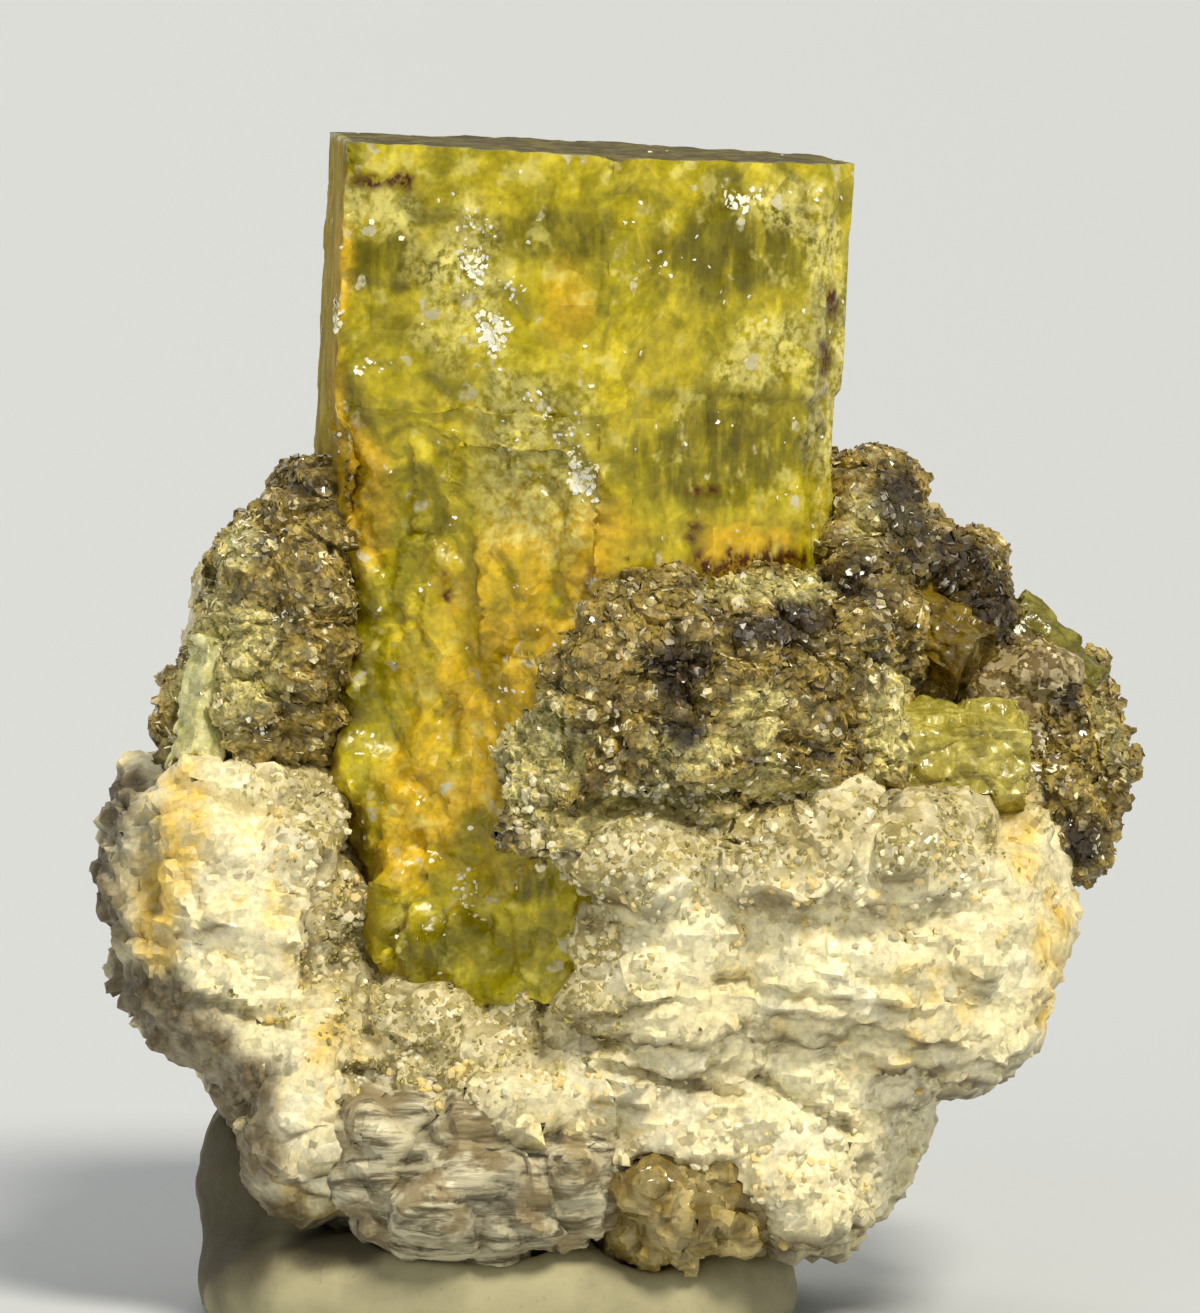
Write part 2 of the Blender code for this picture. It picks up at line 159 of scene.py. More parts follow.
def split_long_edges(piece, longest):
    """Halve the edges that are too long until none is left. Flat faces stay flat and edges crisp."""
    shape = bmesh.new()
    shape.from_mesh(piece.data)
    long_edges = [edge for edge in shape.edges if edge.calc_length() > longest]
    while long_edges:
        bmesh.ops.subdivide_edges(shape, edges=long_edges, cuts=1, use_grid_fill=False)
        bmesh.ops.triangulate(shape, faces=shape.faces, quad_method="SHORT_EDGE")
        long_edges = [edge for edge in shape.edges if edge.calc_length() > longest]
    shape.to_mesh(piece.data)
    shape.free()


def displace(piece, rule, keep=None):
    """Move each point along its normal by rule(place, normal), and keep the height in millimetres."""
    mesh = piece.data
    heights = [rule(point.co, point.normal) for point in mesh.vertices]
    moved = [point.co + point.normal * height for point, height in zip(mesh.vertices, heights)]
    for point, place in zip(mesh.vertices, moved):
        point.co = place
    if keep:
        layer = mesh.attributes.new(keep, "FLOAT", "POINT")
        for cell, height in zip(layer.data, heights):
            cell.value = height / MM
    mesh.update()


def paint(piece, name, rule):
    """Keep rule(place, normal) at each point as a named attribute that materials read."""
    mesh = piece.data
    layer = mesh.attributes.get(name) or mesh.attributes.new(name, "FLOAT", "POINT")
    for point, cell in zip(mesh.vertices, layer.data):
        cell.value = rule(point.co, point.normal)


def paint_zones(piece, name, places, **options):
    paint(piece, name, lambda at, normal: zones(at, places, **options))


def dress(piece, node, finish, sharp_angle):
    """Give a finished mesh its material and its place in the frame."""
    if finish.name not in piece.data.materials:
        piece.data.materials.append(finish)
    piece.data.shade_smooth()
    piece.data.set_sharp_from_angle(angle=math.radians(sharp_angle))
    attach(piece, BODY)
    if node:
        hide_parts(node)
    return piece


# Shapes that broken minerals have


def fade(value, start, end):
    """0 before start, 1 after end, smooth between."""
    share = min(1.0, max(0.0, (value - start) / (end - start)))
    return share * share * (3 - 2 * share)


def swell(place, size, seed, octaves=3):
    """Smooth uneven swelling, from about -1 to 1."""
    return noise.fractal(place / size + Vector((seed, 0, 0)), 0.9, 2.1, octaves)


def wander(place, size, reach):
    """The place moved by smooth noise, so that borders drawn from it aren't straight."""
    return place + noise.noise_vector(place / size) * reach


def broken_blocks(place, size, seed, squeeze=(1, 1, 1)):
    """Level and tilt of the block of broken mineral at this place, from about -1 to 1."""
    at = Vector([place[i] * squeeze[i] for i in range(3)]) / size + Vector((seed, seed, seed))
    middle = noise.voronoi(at)[1][0]
    pick = noise.cell_vector(middle * 37.7)
    lean = noise.cell_vector(middle * 53.1)
    return pick.x * 0.45 + (at - middle).dot(lean) * 0.9


def shell_bowls(place, size, seed):
    """Shallow bowls with ridges between, as in shell-like fracture. 1 in a bowl's middle, 0 on a ridge."""
    near = noise.voronoi(place / size + Vector((0, seed, 0)))[0]
    return max(0.0, 1 - (near[0] / max(near[1], 1e-6)) ** 1.6)


def treads(place, across, step):
    """Height over the nearest cleavage plane, from -0.5 to 0.5 of a step."""
    height = place.dot(across) / step
    return round(height) - height


def zone(place, middle, reach, wobble=0.35, size=2.0 * MM):
    """1 inside an ellipsoid given in millimetres and 0 outside, with an uneven border."""
    apart = math.sqrt(sum(((place[i] - middle[i] * MM) / (reach[i] * MM)) ** 2 for i in range(3)))
    return 1 - fade(apart + wobble * swell(place, size, 5.0, 2), 0.6, 1.15)


def zones(place, places, **options):
    return max(zone(place, middle, reach, **options) for middle, reach in places)


def raised(place, places):
    """The greatest height in millimetres that these zones give the surface here."""
    return max(height * zone(place, middle, reach, 0.2) for middle, reach, height in places)


def fissure(place, start, end, width):
    """1 on a line in the front view from start to end, in millimetres, and 0 beside it."""
    start, end, at = Vector(start), Vector(end), Vector((place.x, place.z)) / MM
    run = end - start
    share = min(1.0, max(0.0, (at - start).dot(run) / run.length_squared))
    apart = (at - start - run * share).length + 0.5 * width * swell(place, 1.2 * MM, 3.0, 2)
    return math.exp(-((apart / width) ** 2)) * fade(-place.y, 2 * MM, 5 * MM)


# Materials


def new_finish(name):
    made = bpy.data.materials.new(name)
    made.use_nodes = True
    return made, made.node_tree, made.node_tree.nodes["Principled BSDF"]


def feed(tree, node, inputs):
    """Set or link a node's inputs, which go by name or number."""
    for key, value in inputs.items():
        if isinstance(value, bpy.types.NodeSocket):
            tree.links.new(value, node.inputs[key])
        else:
            node.inputs[key].default_value = value


def put(tree, kind, inputs=None, **settings):
    """Add a node with these inputs and properties."""
    node = tree.nodes.new(kind)
    for key, value in settings.items():
        setattr(node, key, value)
    feed(tree, node, inputs or {})
    return node


def millimetres(tree, stretch=(1, 1, 1), turn=(0, 0, 0)):
    """The piece's own coordinates in millimetres."""
    source = put(tree, "ShaderNodeTexCoord")
    scale = [share / MM for share in stretch]
    inputs = {"Vector": source.outputs["Object"], "Rotation": turn, "Scale": scale}
    return put(tree, "ShaderNodeMapping", inputs).outputs["Vector"]


def grain(tree, where, size, detail=3.0, rough=0.55, warp=0.0):
    """Noise whose features are this many millimetres across."""
    inputs = {"Vector": where, "Scale": 1 / size, "Detail": detail, "Roughness": rough, "Distortion": warp}
    return put(tree, "ShaderNodeTexNoise", inputs).outputs["Fac"]


def vectors(tree, operation, first, second=(0, 0, 0)):
    return put(tree, "ShaderNodeVectorMath", {0: first, 1: second}, operation=operation)


def warped(tree, where, size, reach):
    """Coordinates moved by noise of this size, by up to half of reach in millimetres."""
    inputs = {"Vector": where, "Scale": 1 / size, "Detail": 2.0}
    colour = put(tree, "ShaderNodeTexNoise", inputs).outputs["Color"]
    shift = vectors(tree, "SUBTRACT", colour, (0.5, 0.5, 0.5)).outputs[0]
    shift = put(tree, "ShaderNodeVectorMath", {0: shift, "Scale": reach}, operation="SCALE").outputs[0]
    return vectors(tree, "ADD", where, shift).outputs[0]


def blocks(tree, where, size):
    """Irregular blocks: a random tone for each, and the height of its own tilted face in millimetres."""
    cell = put(tree, "ShaderNodeTexVoronoi", {"Vector": where, "Scale": 1 / size})
    apart = vectors(tree, "SUBTRACT", where, cell.outputs["Position"]).outputs[0]
    lean = vectors(tree, "SUBTRACT", cell.outputs["Color"], (0.5, 0.5, 0.5)).outputs[0]
    height = vectors(tree, "DOT_PRODUCT", apart, lean).outputs["Value"]
    tone = put(tree, "ShaderNodeSeparateColor", {0: cell.outputs["Color"]}).outputs[0]
    return tone, height


def remap(tree, value, low, high, new_low=0.0, new_high=1.0):
    inputs = {"Value": value, 1: low, 2: high, 3: new_low, 4: new_high}
    return put(tree, "ShaderNodeMapRange", inputs, interpolation_type="SMOOTHSTEP").outputs["Result"]


def maths(tree, operation, first, second=0.5):
    return put(tree, "ShaderNodeMath", {0: first, 1: second}, operation=operation).outputs["Value"]


def times(tree, first, second):
    return maths(tree, "MULTIPLY", first, second)


def blend(tree, share, first, second):
    """Mix two colours by share."""
    inputs = {0: share}
    for number, colour in ((6, first), (7, second)):
        inputs[number] = colour if isinstance(colour, bpy.types.NodeSocket) else (*colour[:3], 1)
    return put(tree, "ShaderNodeMix", inputs, data_type="RGBA").outputs[2]


def brighten(tree, colour, value, low, high, darkest, brightest):
    """Multiply a colour by darkest where value is low, up to brightest where it is high."""
    factor = remap(tree, value, low, high, darkest, brightest)
    return put(tree, "ShaderNodeVectorMath", {0: colour, "Scale": factor}, operation="SCALE").outputs[0]


def attribute(tree, name):
    return put(tree, "ShaderNodeAttribute", attribute_name=name).outputs["Fac"]


def relief(tree, height, depth, strength=1.0, normal=None):
    """A bump of this depth in millimetres."""
    inputs = {"Height": height, "Distance": depth * MM, "Strength": strength}
    if normal:
        inputs["Normal"] = normal
    return put(tree, "ShaderNodeBump", inputs).outputs["Normal"]


def shade(colour, factor):
    return tuple(min(1.0, part * factor) for part in colour[:3])


# The golden crystal

# Zones of colour: middle and reach in millimetres
OLIVE_ZONES = [
    ((11.6, -8, 53.4), (5.4, 8, 3.2)),
    ((-5.0, -10, 52.6), (3.6, 8, 1.7)),
    ((10.6, -10, 43.6), (6.2, 6, 3.4)),
    ((2.6, -12, 54.2), (4.0, 6, 1.3)),
    ((-3.6, -12, 19.2), (2.0, 9, 1.5)),
    ((1.6, -12, 22.6), (2.0, 9, 1.2)),
    ((-6.8, -8, 34.0), (1.2, 5, 4.6)),
    ((-7.4, -8, 44.6), (1.7, 5, 3.0)),
    ((8.0, 11, 50.0), (8.0, 6, 5.0)),
    ((-6.0, 8, 38.0), (5.0, 6, 5.0)),
]
ORANGE_ZONES = [
    ((0.6, -12, 31.5), (5.6, 8, 8.0)),
    ((-3.8, -11, 25.5), (2.8, 5, 5.0)),
    ((3.0, -13, 39.0), (4.4, 5, 3.4)),
    ((-8.0, -7, 53.0), (1.3, 5, 5.0)),
    ((-8.2, -7, 46.0), (0.9, 5, 4.0)),
    ((-6.6, -8, 41.0), (1.6, 5, 4.0)),
    ((3.6, -12, 50.6), (1.5, 4, 2.4)),
    ((-2.0, 9, 46.0), (6.0, 6, 5.0)),
    ((12.4, -10, 38.6), (3.6, 5, 1.6)),
]
MILKY_ZONES = [
    ((-1.6, -12, 51.6), (2.6, 6, 4.2)),
    ((16.2, -6, 48.0), (1.3, 6, 9.0)),
    ((13.4, -8, 48.4), (3.4, 6, 2.0)),
    ((14.6, -8, 55.6), (2.6, 6, 1.6)),
    ((1.8, -12, 43.4), (3.4, 6, 5.0)),
    ((-6.0, -9, 55.4), (2.4, 6, 1.6)),
]
RUST_SPOTS = [
    ((-8.9, -7, 44.6), (0.9, 4, 1.4)),
    ((-7.0, -9, 41.6), (0.45, 3, 1.5)),
    ((-9.4, -5, 49.4), (0.7, 5, 1.9)),
    ((-8.2, -8, 55.0), (0.28, 3, 2.2)),
    ((10.0, -11, 41.6), (0.75, 3, 0.4)),
    ((9.7, -11, 39.7), (0.4, 3, 0.5)),
    ((12.6, -9, 37.6), (4.6, 5, 1.1)),
    ((6.8, -12, 37.2), (2.8, 3, 0.8)),
    ((16.2, -6, 47.8), (0.5, 3, 0.9)),
    ((16.6, -6, 50.6), (0.3, 3, 0.9)),
    ((-5.4, -10, 56.6), (2.2, 3, 0.45)),
    ((-2.4, -11, 36.6), (0.3, 3, 1.2)),
    ((-7.2, -8, 33.2), (0.8, 3, 0.5)),
]


# Splintered patches of the faces that throw the light back; the bright plates strewn here are partly painted
# glints
GLINTS = [
    ((-0.1, -12, 49.6), (0.8, 6, 1.1)),
    ((0.9, -12, 51.6), (0.9, 6, 0.9)),
    ((-1.3, -12, 52.6), (0.5, 6, 1.6)),
    ((-0.9, -12, 54.6), (0.8, 6, 0.6)),
    ((-7.7, -8, 49.9), (0.4, 8, 0.8)),
    ((12.1, -9, 55.7), (1.0, 8, 0.4)),
    ((6.4, -11, 54.8), (0.6, 8, 0.5)),
    ((3.9, -13, 43.6), (0.9, 6, 2.0)),
    ((2.6, -13, 46.0), (0.9, 6, 0.9)),
    ((15.4, -8, 56.0), (1.0, 8, 0.6)),
    ((1.4, -13, 36.8), (0.6, 6, 0.4)),
    ((-3.6, -12, 37.0), (0.6, 6, 0.4)),
    ((0.2, -13, 31.6), (0.9, 6, 0.4)),
    ((4.6, -14, 31.8), (1.6, 6, 2.6)),
    ((-1.6, -13, 22.0), (0.6, 8, 0.9)),
    ((-5.6, -10, 47.6), (1.6, 6, 0.4)),
    ((8.6, -11, 52.6), (1.0, 6, 0.5)),
]
# The brightest glints, where the bright plates, as painted glints, lie thickest
FLASHES = [
    ((-0.1, -12, 49.4), (0.8, 6, 1.3)),
    ((-0.8, -12, 52.6), (0.4, 6, 0.8)),
    ((3.9, -13, 43.2), (0.6, 6, 1.5)),
    ((12.1, -9, 55.7), (0.9, 8, 0.35)),
    ((-7.7, -8, 49.9), (0.35, 8, 0.7)),
]


def along_crystal(place):
    """The place seen from the crystal's own axis, with its flat top at the height that it has there."""
    upright = Matrix.Rotation(-CRYSTAL_LEAN, 3, "Y") @ (place - CRYSTAL_AXIS)
    return upright + Vector((0, 0, CRYSTAL_AXIS.z))


def broken_share(own):
    """How far the crystal is broken at this place: 0 on the sound faces, 1 low on the left front and foot."""
    on_left_front = fade(-own.x + 3.0 * MM, 0, 2.0 * MM) * fade(-own.y, -1 * MM, 4 * MM)
    edge = 2.4 * MM * swell(own, 5 * MM, 2.0, 2)
    return max(on_left_front * fade(46.5 * MM + edge - own.z, 0, 3 * MM), fade(28 * MM - own.z, 0, 5 * MM))


def rim_chips(own):
    """Small chips along the prism edges and the rim of the top."""
    turns = (math.atan2(own.x, -own.y) - CRYSTAL_TURN) / SIXTH_TURN
    off_edge = abs(turns - round(turns)) * SIXTH_TURN * CRYSTAL_RADIUS
    near_edge = 1 - fade(off_edge, 0.1 * MM, 1.0 * MM)
    near_top = 1 - fade(CRYSTAL_AXIS.z - own.z, 0.1 * MM, 0.8 * MM)
    return max(near_edge, near_top * 0.3) * max(0.0, 0.12 + swell(own, 1.3 * MM, 17.0)) * 0.42 * MM


# Small spalls on the sound faces: place in the front view and reach, in millimetres
SPALLS = [
    ((-0.2, 50.2), 1.7),
    ((-2.2, 53.6), 1.9),
    ((-7.6, 50.8), 0.9),
    ((11.4, 56.0), 1.1),
    ((1.6, 52.6), 0.8),
    ((3.9, 44.2), 1.7),
    ((3.0, 42.0), 1.2),
    ((6.2, 55.6), 0.9),
    ((-5.6, 47.0), 0.9),
    ((13.8, 56.2), 1.0),
    ((8.6, 55.0), 0.6),
    ((-3.0, 45.8), 1.2),
]


def spalls(place, normal):
    """Hollows whose floor looks up, where a splinter has left the face."""
    if place.y > -2 * MM or normal.y > -0.3:
        return 0.0
    depth = 0.0
    for (across, up), reach in SPALLS:
        apart = math.hypot(place.x - across * MM, place.z - up * MM) / (reach * MM)
        ragged = apart + 0.45 * swell(place, 0.9 * MM, 9.0, 2)
        tilt = 0.5 + (place.z - up * MM) / (reach * MM) * 0.5
        depth = max(depth, (1 - fade(ragged, 0.75, 1.0)) * (0.1 + 0.42 * tilt) * reach * 0.5 * MM)
    return depth


# Where the broken foot meets the rock, and how far it reaches out to it, in millimetres
WIDE_FOOT = [
    ((-6.8, -8, 24.0), (3.2, 9, 5.0), 1.2),
    ((-4.8, -10, 19.6), (3.6, 9, 4.4), 2.6),
    ((-2.6, -12, 17.0), (3.4, 8, 1.4), 0.9),
]


def crystal_relief(place, normal):
    """Etching and growth steps on the sound faces, shell-like fracture low down, and the foot's swelling."""
    own = along_crystal(place)
    broken = broken_share(own)
    stretched = Vector((own.x, own.y, own.z * 0.72))
    stretched = wander(stretched, 2.6 * MM, 0.9 * MM)
    bowls = 0.44 * shell_bowls(stretched, 3.4 * MM, 3.0) + 0.22 * shell_bowls(stretched, 1.4 * MM, 8.0)
    chips = 0.55 * max(0.0, broken_blocks(stretched, 2.6 * MM, 4.0) + 0.25)
    chips += 0.32 * max(0.0, broken_blocks(stretched, 1.15 * MM, 7.0) + 0.1)
    inwards = broken * (bowls + chips) * MM
    on_right_front = fade(own.x - 2.4 * MM, 0, 1.0 * MM) * fade(-own.y, 1 * MM, 4 * MM)
    step = fade(46.9 * MM + 0.25 * MM * swell(own, 2 * MM, 1.0, 2) - own.z, 0, 0.7 * MM)
    shelf = fade(own.x - 5.4 * MM, 0, 0.7 * MM) * fade(own.z - 41.6 * MM, 0, 0.7 * MM)
    inwards += on_right_front * step * (0.2 + 0.16 * shelf) * MM
    inwards -= raised(place, WIDE_FOOT) * MM
    etched = 0.06 * (1 + swell(own, 2.4 * MM, 6.0)) + 0.1 * max(0.0, broken_blocks(stretched, 2.2 * MM, 12.0))
    inwards += etched * (1 - broken) * MM
    grooved = Vector((own.x / (0.7 * MM), own.y / (0.7 * MM), own.z / (7 * MM)))
    inwards += 0.035 * MM * (1 + noise.noise(grooved)) + rim_chips(own) + spalls(place, normal)
    return 0.22 * MM - inwards


VEIL_SEED = 23


def add_veil(shape, draw):
    """One healed crack inside the crystal: a thin, curved, ragged lens."""
    reach = draw.uniform(0.4, 1.9) * MM
    away = CRYSTAL_RADIUS * 0.76 - reach
    around, out = draw.uniform(0, 2 * math.pi), away * math.sqrt(draw.random())
    middle = Vector((out * math.cos(around), out * math.sin(around), draw.uniform(-33, -2.5) * MM))
    lie = Euler((draw.gauss(0, 0.5), draw.gauss(0, 0.5), draw.uniform(0, 6.3))).to_matrix()
    if draw.random() < 0.5:
        lie = Euler((math.radians(90) + draw.gauss(0, 0.3), 0, draw.uniform(0, 6.3))).to_matrix()
    points = bmesh.ops.create_icosphere(shape, subdivisions=2, radius=1)["verts"]
    seed = draw.uniform(0, 90)
    for point in points:
        flat = Vector((point.co.x, point.co.y, 0))
        ragged = 1 + 0.5 * noise.noise(flat * 1.6 + Vector((seed, 0, 0)))
        curve = 0.16 * flat.length_squared + 0.16 * noise.noise(flat * 2.2 + Vector((0, seed, 0)))
        at = Vector((flat.x * ragged, flat.y * ragged * 0.7, curve + point.co.z * 0.02)) * reach
        point.co = Matrix.Rotation(CRYSTAL_LEAN, 3, "Y") @ (middle + lie @ at) + CRYSTAL_AXIS


def make_veils(count):
    """Healed cracks, which show as silvery sheets inside the crystal."""
    draw = random.Random(VEIL_SEED)
    shape = bmesh.new()
    for _ in range(count):
        add_veil(shape, draw)
    mesh = bpy.data.meshes.new("crystal_veils")
    shape.normal_update()
    shape.to_mesh(mesh)
    shape.free()
    return new_piece("crystal_veils", mesh)


def crystal_finish(colours):
    finish, tree, shader = new_finish("golden_beryl")
    where = millimetres(tree)
    cloud = grain(tree, where, 4.5, 4, 0.6, 1.0)
    curds = grain(tree, where, 1.7, 3, 0.65)
    fine = grain(tree, where, 0.5, 2, 0.7)
    streak = grain(tree, millimetres(tree, (1, 1, 0.2)), 0.8, 3, 0.65)
    plate_tone, plate_height = blocks(tree, where, 1.9)
    flake_tone, flake_height = blocks(tree, where, 0.6)

    base = blend(tree, remap(tree, cloud, 0.42, 0.6), colours.yellow, colours.deep)
    green = times(tree, attribute(tree, "olive"), remap(tree, streak, 0.32, 0.6, 0.5, 1))
    base = blend(tree, green, base, colours.olive)
    amber = times(tree, attribute(tree, "orange"), remap(tree, curds, 0.3, 0.62, 0.45, 1))
    base = blend(tree, amber, base, colours.orange)
    milk = times(tree, attribute(tree, "milky"), remap(tree, fine, 0.34, 0.6))
    base = blend(tree, milk, base, colours.milky)
    base = blend(tree, times(tree, remap(tree, curds, 0.56, 0.68), 0.6), base, colours.milky)
    base = brighten(tree, base, plate_tone, 0, 1, 0.8, 1.12)
    base = brighten(tree, base, curds, 0.34, 0.62, 0.78, 1.12)
    base = brighten(tree, base, fine, 0.32, 0.66, 0.84, 1.14)
    # Painted glints: pale cream spots on a few of the small flakes
    glow = times(tree, remap(tree, flake_tone, 0.95, 0.98), remap(tree, curds, 0.45, 0.6, 0, 0.9))
    base = blend(tree, glow, base, (1.0, 0.95, 0.62))
    dark = times(tree, attribute(tree, "rust"), remap(tree, fine, 0.35, 0.55, 0.35, 1))
    base = blend(tree, dark, base, colours.rust)
    base = blend(tree, times(tree, attribute(tree, "side"), 0.6), base, (0.42, 0.27, 0.02))
    cap = blend(tree, remap(tree, curds, 0.4, 0.62), (0.085, 0.07, 0.018), (0.22, 0.18, 0.035))
    base = blend(tree, attribute(tree, "top"), base, cap)
    gloss = remap(tree, curds, 0.35, 0.65, 0.1, 0.34)
    matt = maths(tree, "MAXIMUM", attribute(tree, "top"), attribute(tree, "side"))
    gloss = maths(tree, "MAXIMUM", gloss, times(tree, matt, 0.75))
    splintered = maths(tree, "MAXIMUM", attribute(tree, "broken"), attribute(tree, "milky"))
    splintered = maths(tree, "MAXIMUM", splintered, times(tree, attribute(tree, "top"), 0.4))
    rough = remap(tree, splintered, 0, 1, 0.16, 0.9)
    bumps = relief(tree, maths(tree, "ADD", plate_height, flake_height), 0.5, rough)
    depth = put(tree, "ShaderNodeVolumeAbsorption", {"Color": (0.95, 0.84, 0.06, 1), "Density": 90.0})
    tree.links.new(depth.outputs[0], tree.nodes["Material Output"].inputs["Volume"])
    feed(tree, shader, {
        "Base Color": base,
        "Roughness": gloss,
        "Transmission Weight": 0.38,
        "IOR": BERYL_IOR,
        "Specular IOR Level": 0.2,
        "Normal": bumps,
    })
    return finish


def veil_finish(colours):
    finish, tree, shader = new_finish("healed_crack")
    fine = grain(tree, millimetres(tree), 0.5, 3, 0.6)
    tone = blend(tree, remap(tree, fine, 0.35, 0.65), colours.yellow, colours.milky)
    feed(tree, shader, {"Base Color": tone, "Roughness": 0.18, "Coat Weight": 0.6})
    return finish


class HELIODOR_OT_crystal(BuildingStep, Operator):
    """Build the golden crystal and the healed cracks inside it"""

    bl_idname = "heliodor.crystal"
    bl_label = "Golden crystal"

    def build(self, sizes, colours):
        crystal = solid_copy("golden_crystal", "heliodor_crystal")
        split_long_edges(crystal, sizes.crystal_grain)
        displace(crystal, crystal_relief)
        paint_zones(crystal, "olive", OLIVE_ZONES)
        paint_zones(crystal, "orange", ORANGE_ZONES)
        paint_zones(crystal, "milky", MILKY_ZONES)
        paint_zones(crystal, "rust", RUST_SPOTS, wobble=0.7, size=0.8 * MM)
        paint(crystal, "broken", lambda at, normal: broken_share(along_crystal(at)))
        paint(crystal, "side", lambda at, normal: fade(-normal.x, 0.7, 0.9))
        paint(crystal, "top", lambda at, normal: fade(normal.z, 0.7, 0.9) * fade(at.z, 55 * MM, 56 * MM))
        dress(crystal, "heliodor_crystal", crystal_finish(colours), 22)
        dress(make_veils(sizes.veils), None, veil_finish(colours), 60)


# The feldspar

STAIN_ZONES = [
    ((-15.2, -9, 25.0), (1.5, 9, 3.6)),
    ((-16.6, -8, 20.6), (1.4, 9, 3.6)),
    ((26.8, -5, 18.6), (1.9, 10, 5.0)),
    ((25.4, -6, 24.0), (1.6, 9, 3.6)),
    ((-8.6, -9, 14.4), (1.4, 4, 2.6)),
    ((4.0, 15, 30.0), (7.0, 6, 5.0)),
    ((-12.0, 8, 22.0), (5.0, 5, 4.0)),
    ((18.0, 10, 18.0), (5.0, 5, 5.0)),
]
GRIT_ZONES = [
    ((-1.0, -12, 17.0), (8.6, 8, 3.6)),
    ((-6.9, -9, 21.4), (2.0, 6, 6.4)),
    ((-8.2, -9, 27.4), (3.0, 6, 3.4)),
    ((6.0, -15, 24.0), (4.6, 5, 2.4)),
    ((12.0, -16, 25.6), (10.0, 8, 2.4)),
    ((20.4, -14, 25.6), (5.4, 8, 2.4)),
    ((-3.4, -12, 13.2), (4.6, 5, 1.5)),
    ((4.4, -13, 20.4), (2.4, 5, 3.0)),
    ((20.0, 4, 38.0), (5.0, 8, 3.0)),
    ((-12.0, 3, 37.6), (4.0, 8, 3.0)),
    ((25.0, -8, 29.6), (4.6, 6, 5.0)),
    ((8.0, 13, 35.0), (8.0, 6, 3.0)),
    ((-9.0, 10, 27.0), (4.0, 6, 4.0)),
    ((19.0, 9, 25.0), (4.0, 6, 5.0)),
    ((5.0, 14, 17.0), (6.0, 6, 2.4)),
]
BRIGHT_ZONES = [
    ((15.2, -13, 13.2), (3.4, 5, 2.4)),
    ((-11.0, -11, 18.0), (3.0, 6, 4.6)),
    ((14.4, -15, 20.4), (6.4, 5, 3.0)),
    ((9.0, -15, 20.6), (3.4, 5, 2.0)),
]
# Where shade is painted on the feldspar as dark brown: on its lower left, where the rock turns away from the
# light, and at one place low on the right just above the putty
SHADED_ZONES = [
    ((-17.6, -7, 16.2), (3.8, 14, 2.3)),
    ((-14.8, -7, 14.4), (3.4, 14, 2.5)),
    ((-12.8, -7, 12.2), (2.7, 14, 2.6)),
    ((-11.9, -7, 9.0), (2.4, 14, 3.0)),
    ((-11.2, -7, 5.6), (2.7, 14, 2.8)),
    ((-19.6, -4, 20.4), (2.1, 10, 3.8)),
    ((-18.8, -4, 25.6), (1.5, 10, 2.0)),
    ((12.6, -10, 4.0), (3.6, 6, 0.8)),
]
BROWN_ZONES = [
    ((25.4, -4, 31.8), (4.8, 10, 3.4)),
    ((21.4, -10, 30.2), (2.0, 6, 3.0)),
    ((20.0, 0, 38.0), (5.0, 10, 3.0)),
]
# Open cracks: start and end in the front view, width and depth, in millimetres
FISSURES = [
    ((-8.8, 23.4), (-9.3, 17.4), 0.3, 1.3),
    ((-6.6, 12.9), (-2.8, 12.5), 0.7, 1.5),
    ((6.2, 14.0), (11.8, 12.2), 0.3, 0.9),
    ((12.4, 13.4), (17.6, 10.4), 0.25, 0.7),
    ((-14.6, 16.8), (-10.4, 15.2), 0.3, 0.8),
    ((10.8, 18.2), (22.0, 16.4), 0.25, 0.5),
    ((-12.4, 21.6), (-9.4, 20.6), 0.2, 0.5),
    ((3.0, 15.6), (9.0, 17.4), 0.25, 0.6),
]
CLEAVAGE = Vector((0.18, -0.42, 0.89)).normalized()

# Where the feldspar swells up against the crystal and the mica, and by how much, in millimetres
FILLED_ZONES = [
    ((12.4, -15, 24.0), (11.0, 8, 2.8), 2.5),
    ((3.6, -14, 21.0), (2.2, 6, 4.6), 0.7),
    ((-9.2, -9, 24.0), (1.8, 6, 5.0), 0.6),
    ((-3.6, -11, 15.6), (3.4, 6, 1.4), 0.8),
    ((-9.6, -11, 8.4), (2.4, 8, 4.4), 1.1),
    ((-1.6, -13, 12.0), (6.0, 8, 1.4), 0.9),
    ((2.2, -13, 16.8), (3.4, 7, 2.0), 2.1),
    ((14.6, -11, 7.0), (2.6, 8, 3.0), 0.7),
    ((-11.6, -8, 27.4), (4.6, 6, 1.9), 0.9),
    ((20.6, -12, 25.4), (4.4, 6, 1.6), 1.0),
    ((27.0, -4, 25.4), (3.4, 6, 1.9), 0.7),
    ((5.6, -12, 13.4), (3.4, 6, 1.6), 0.8),
]
# Where the feldspar stands back from the crystal's foot
SUNK_ZONES = [((-6.8, -10, 21.0), (2.6, 8, 5.0), 0.9)]


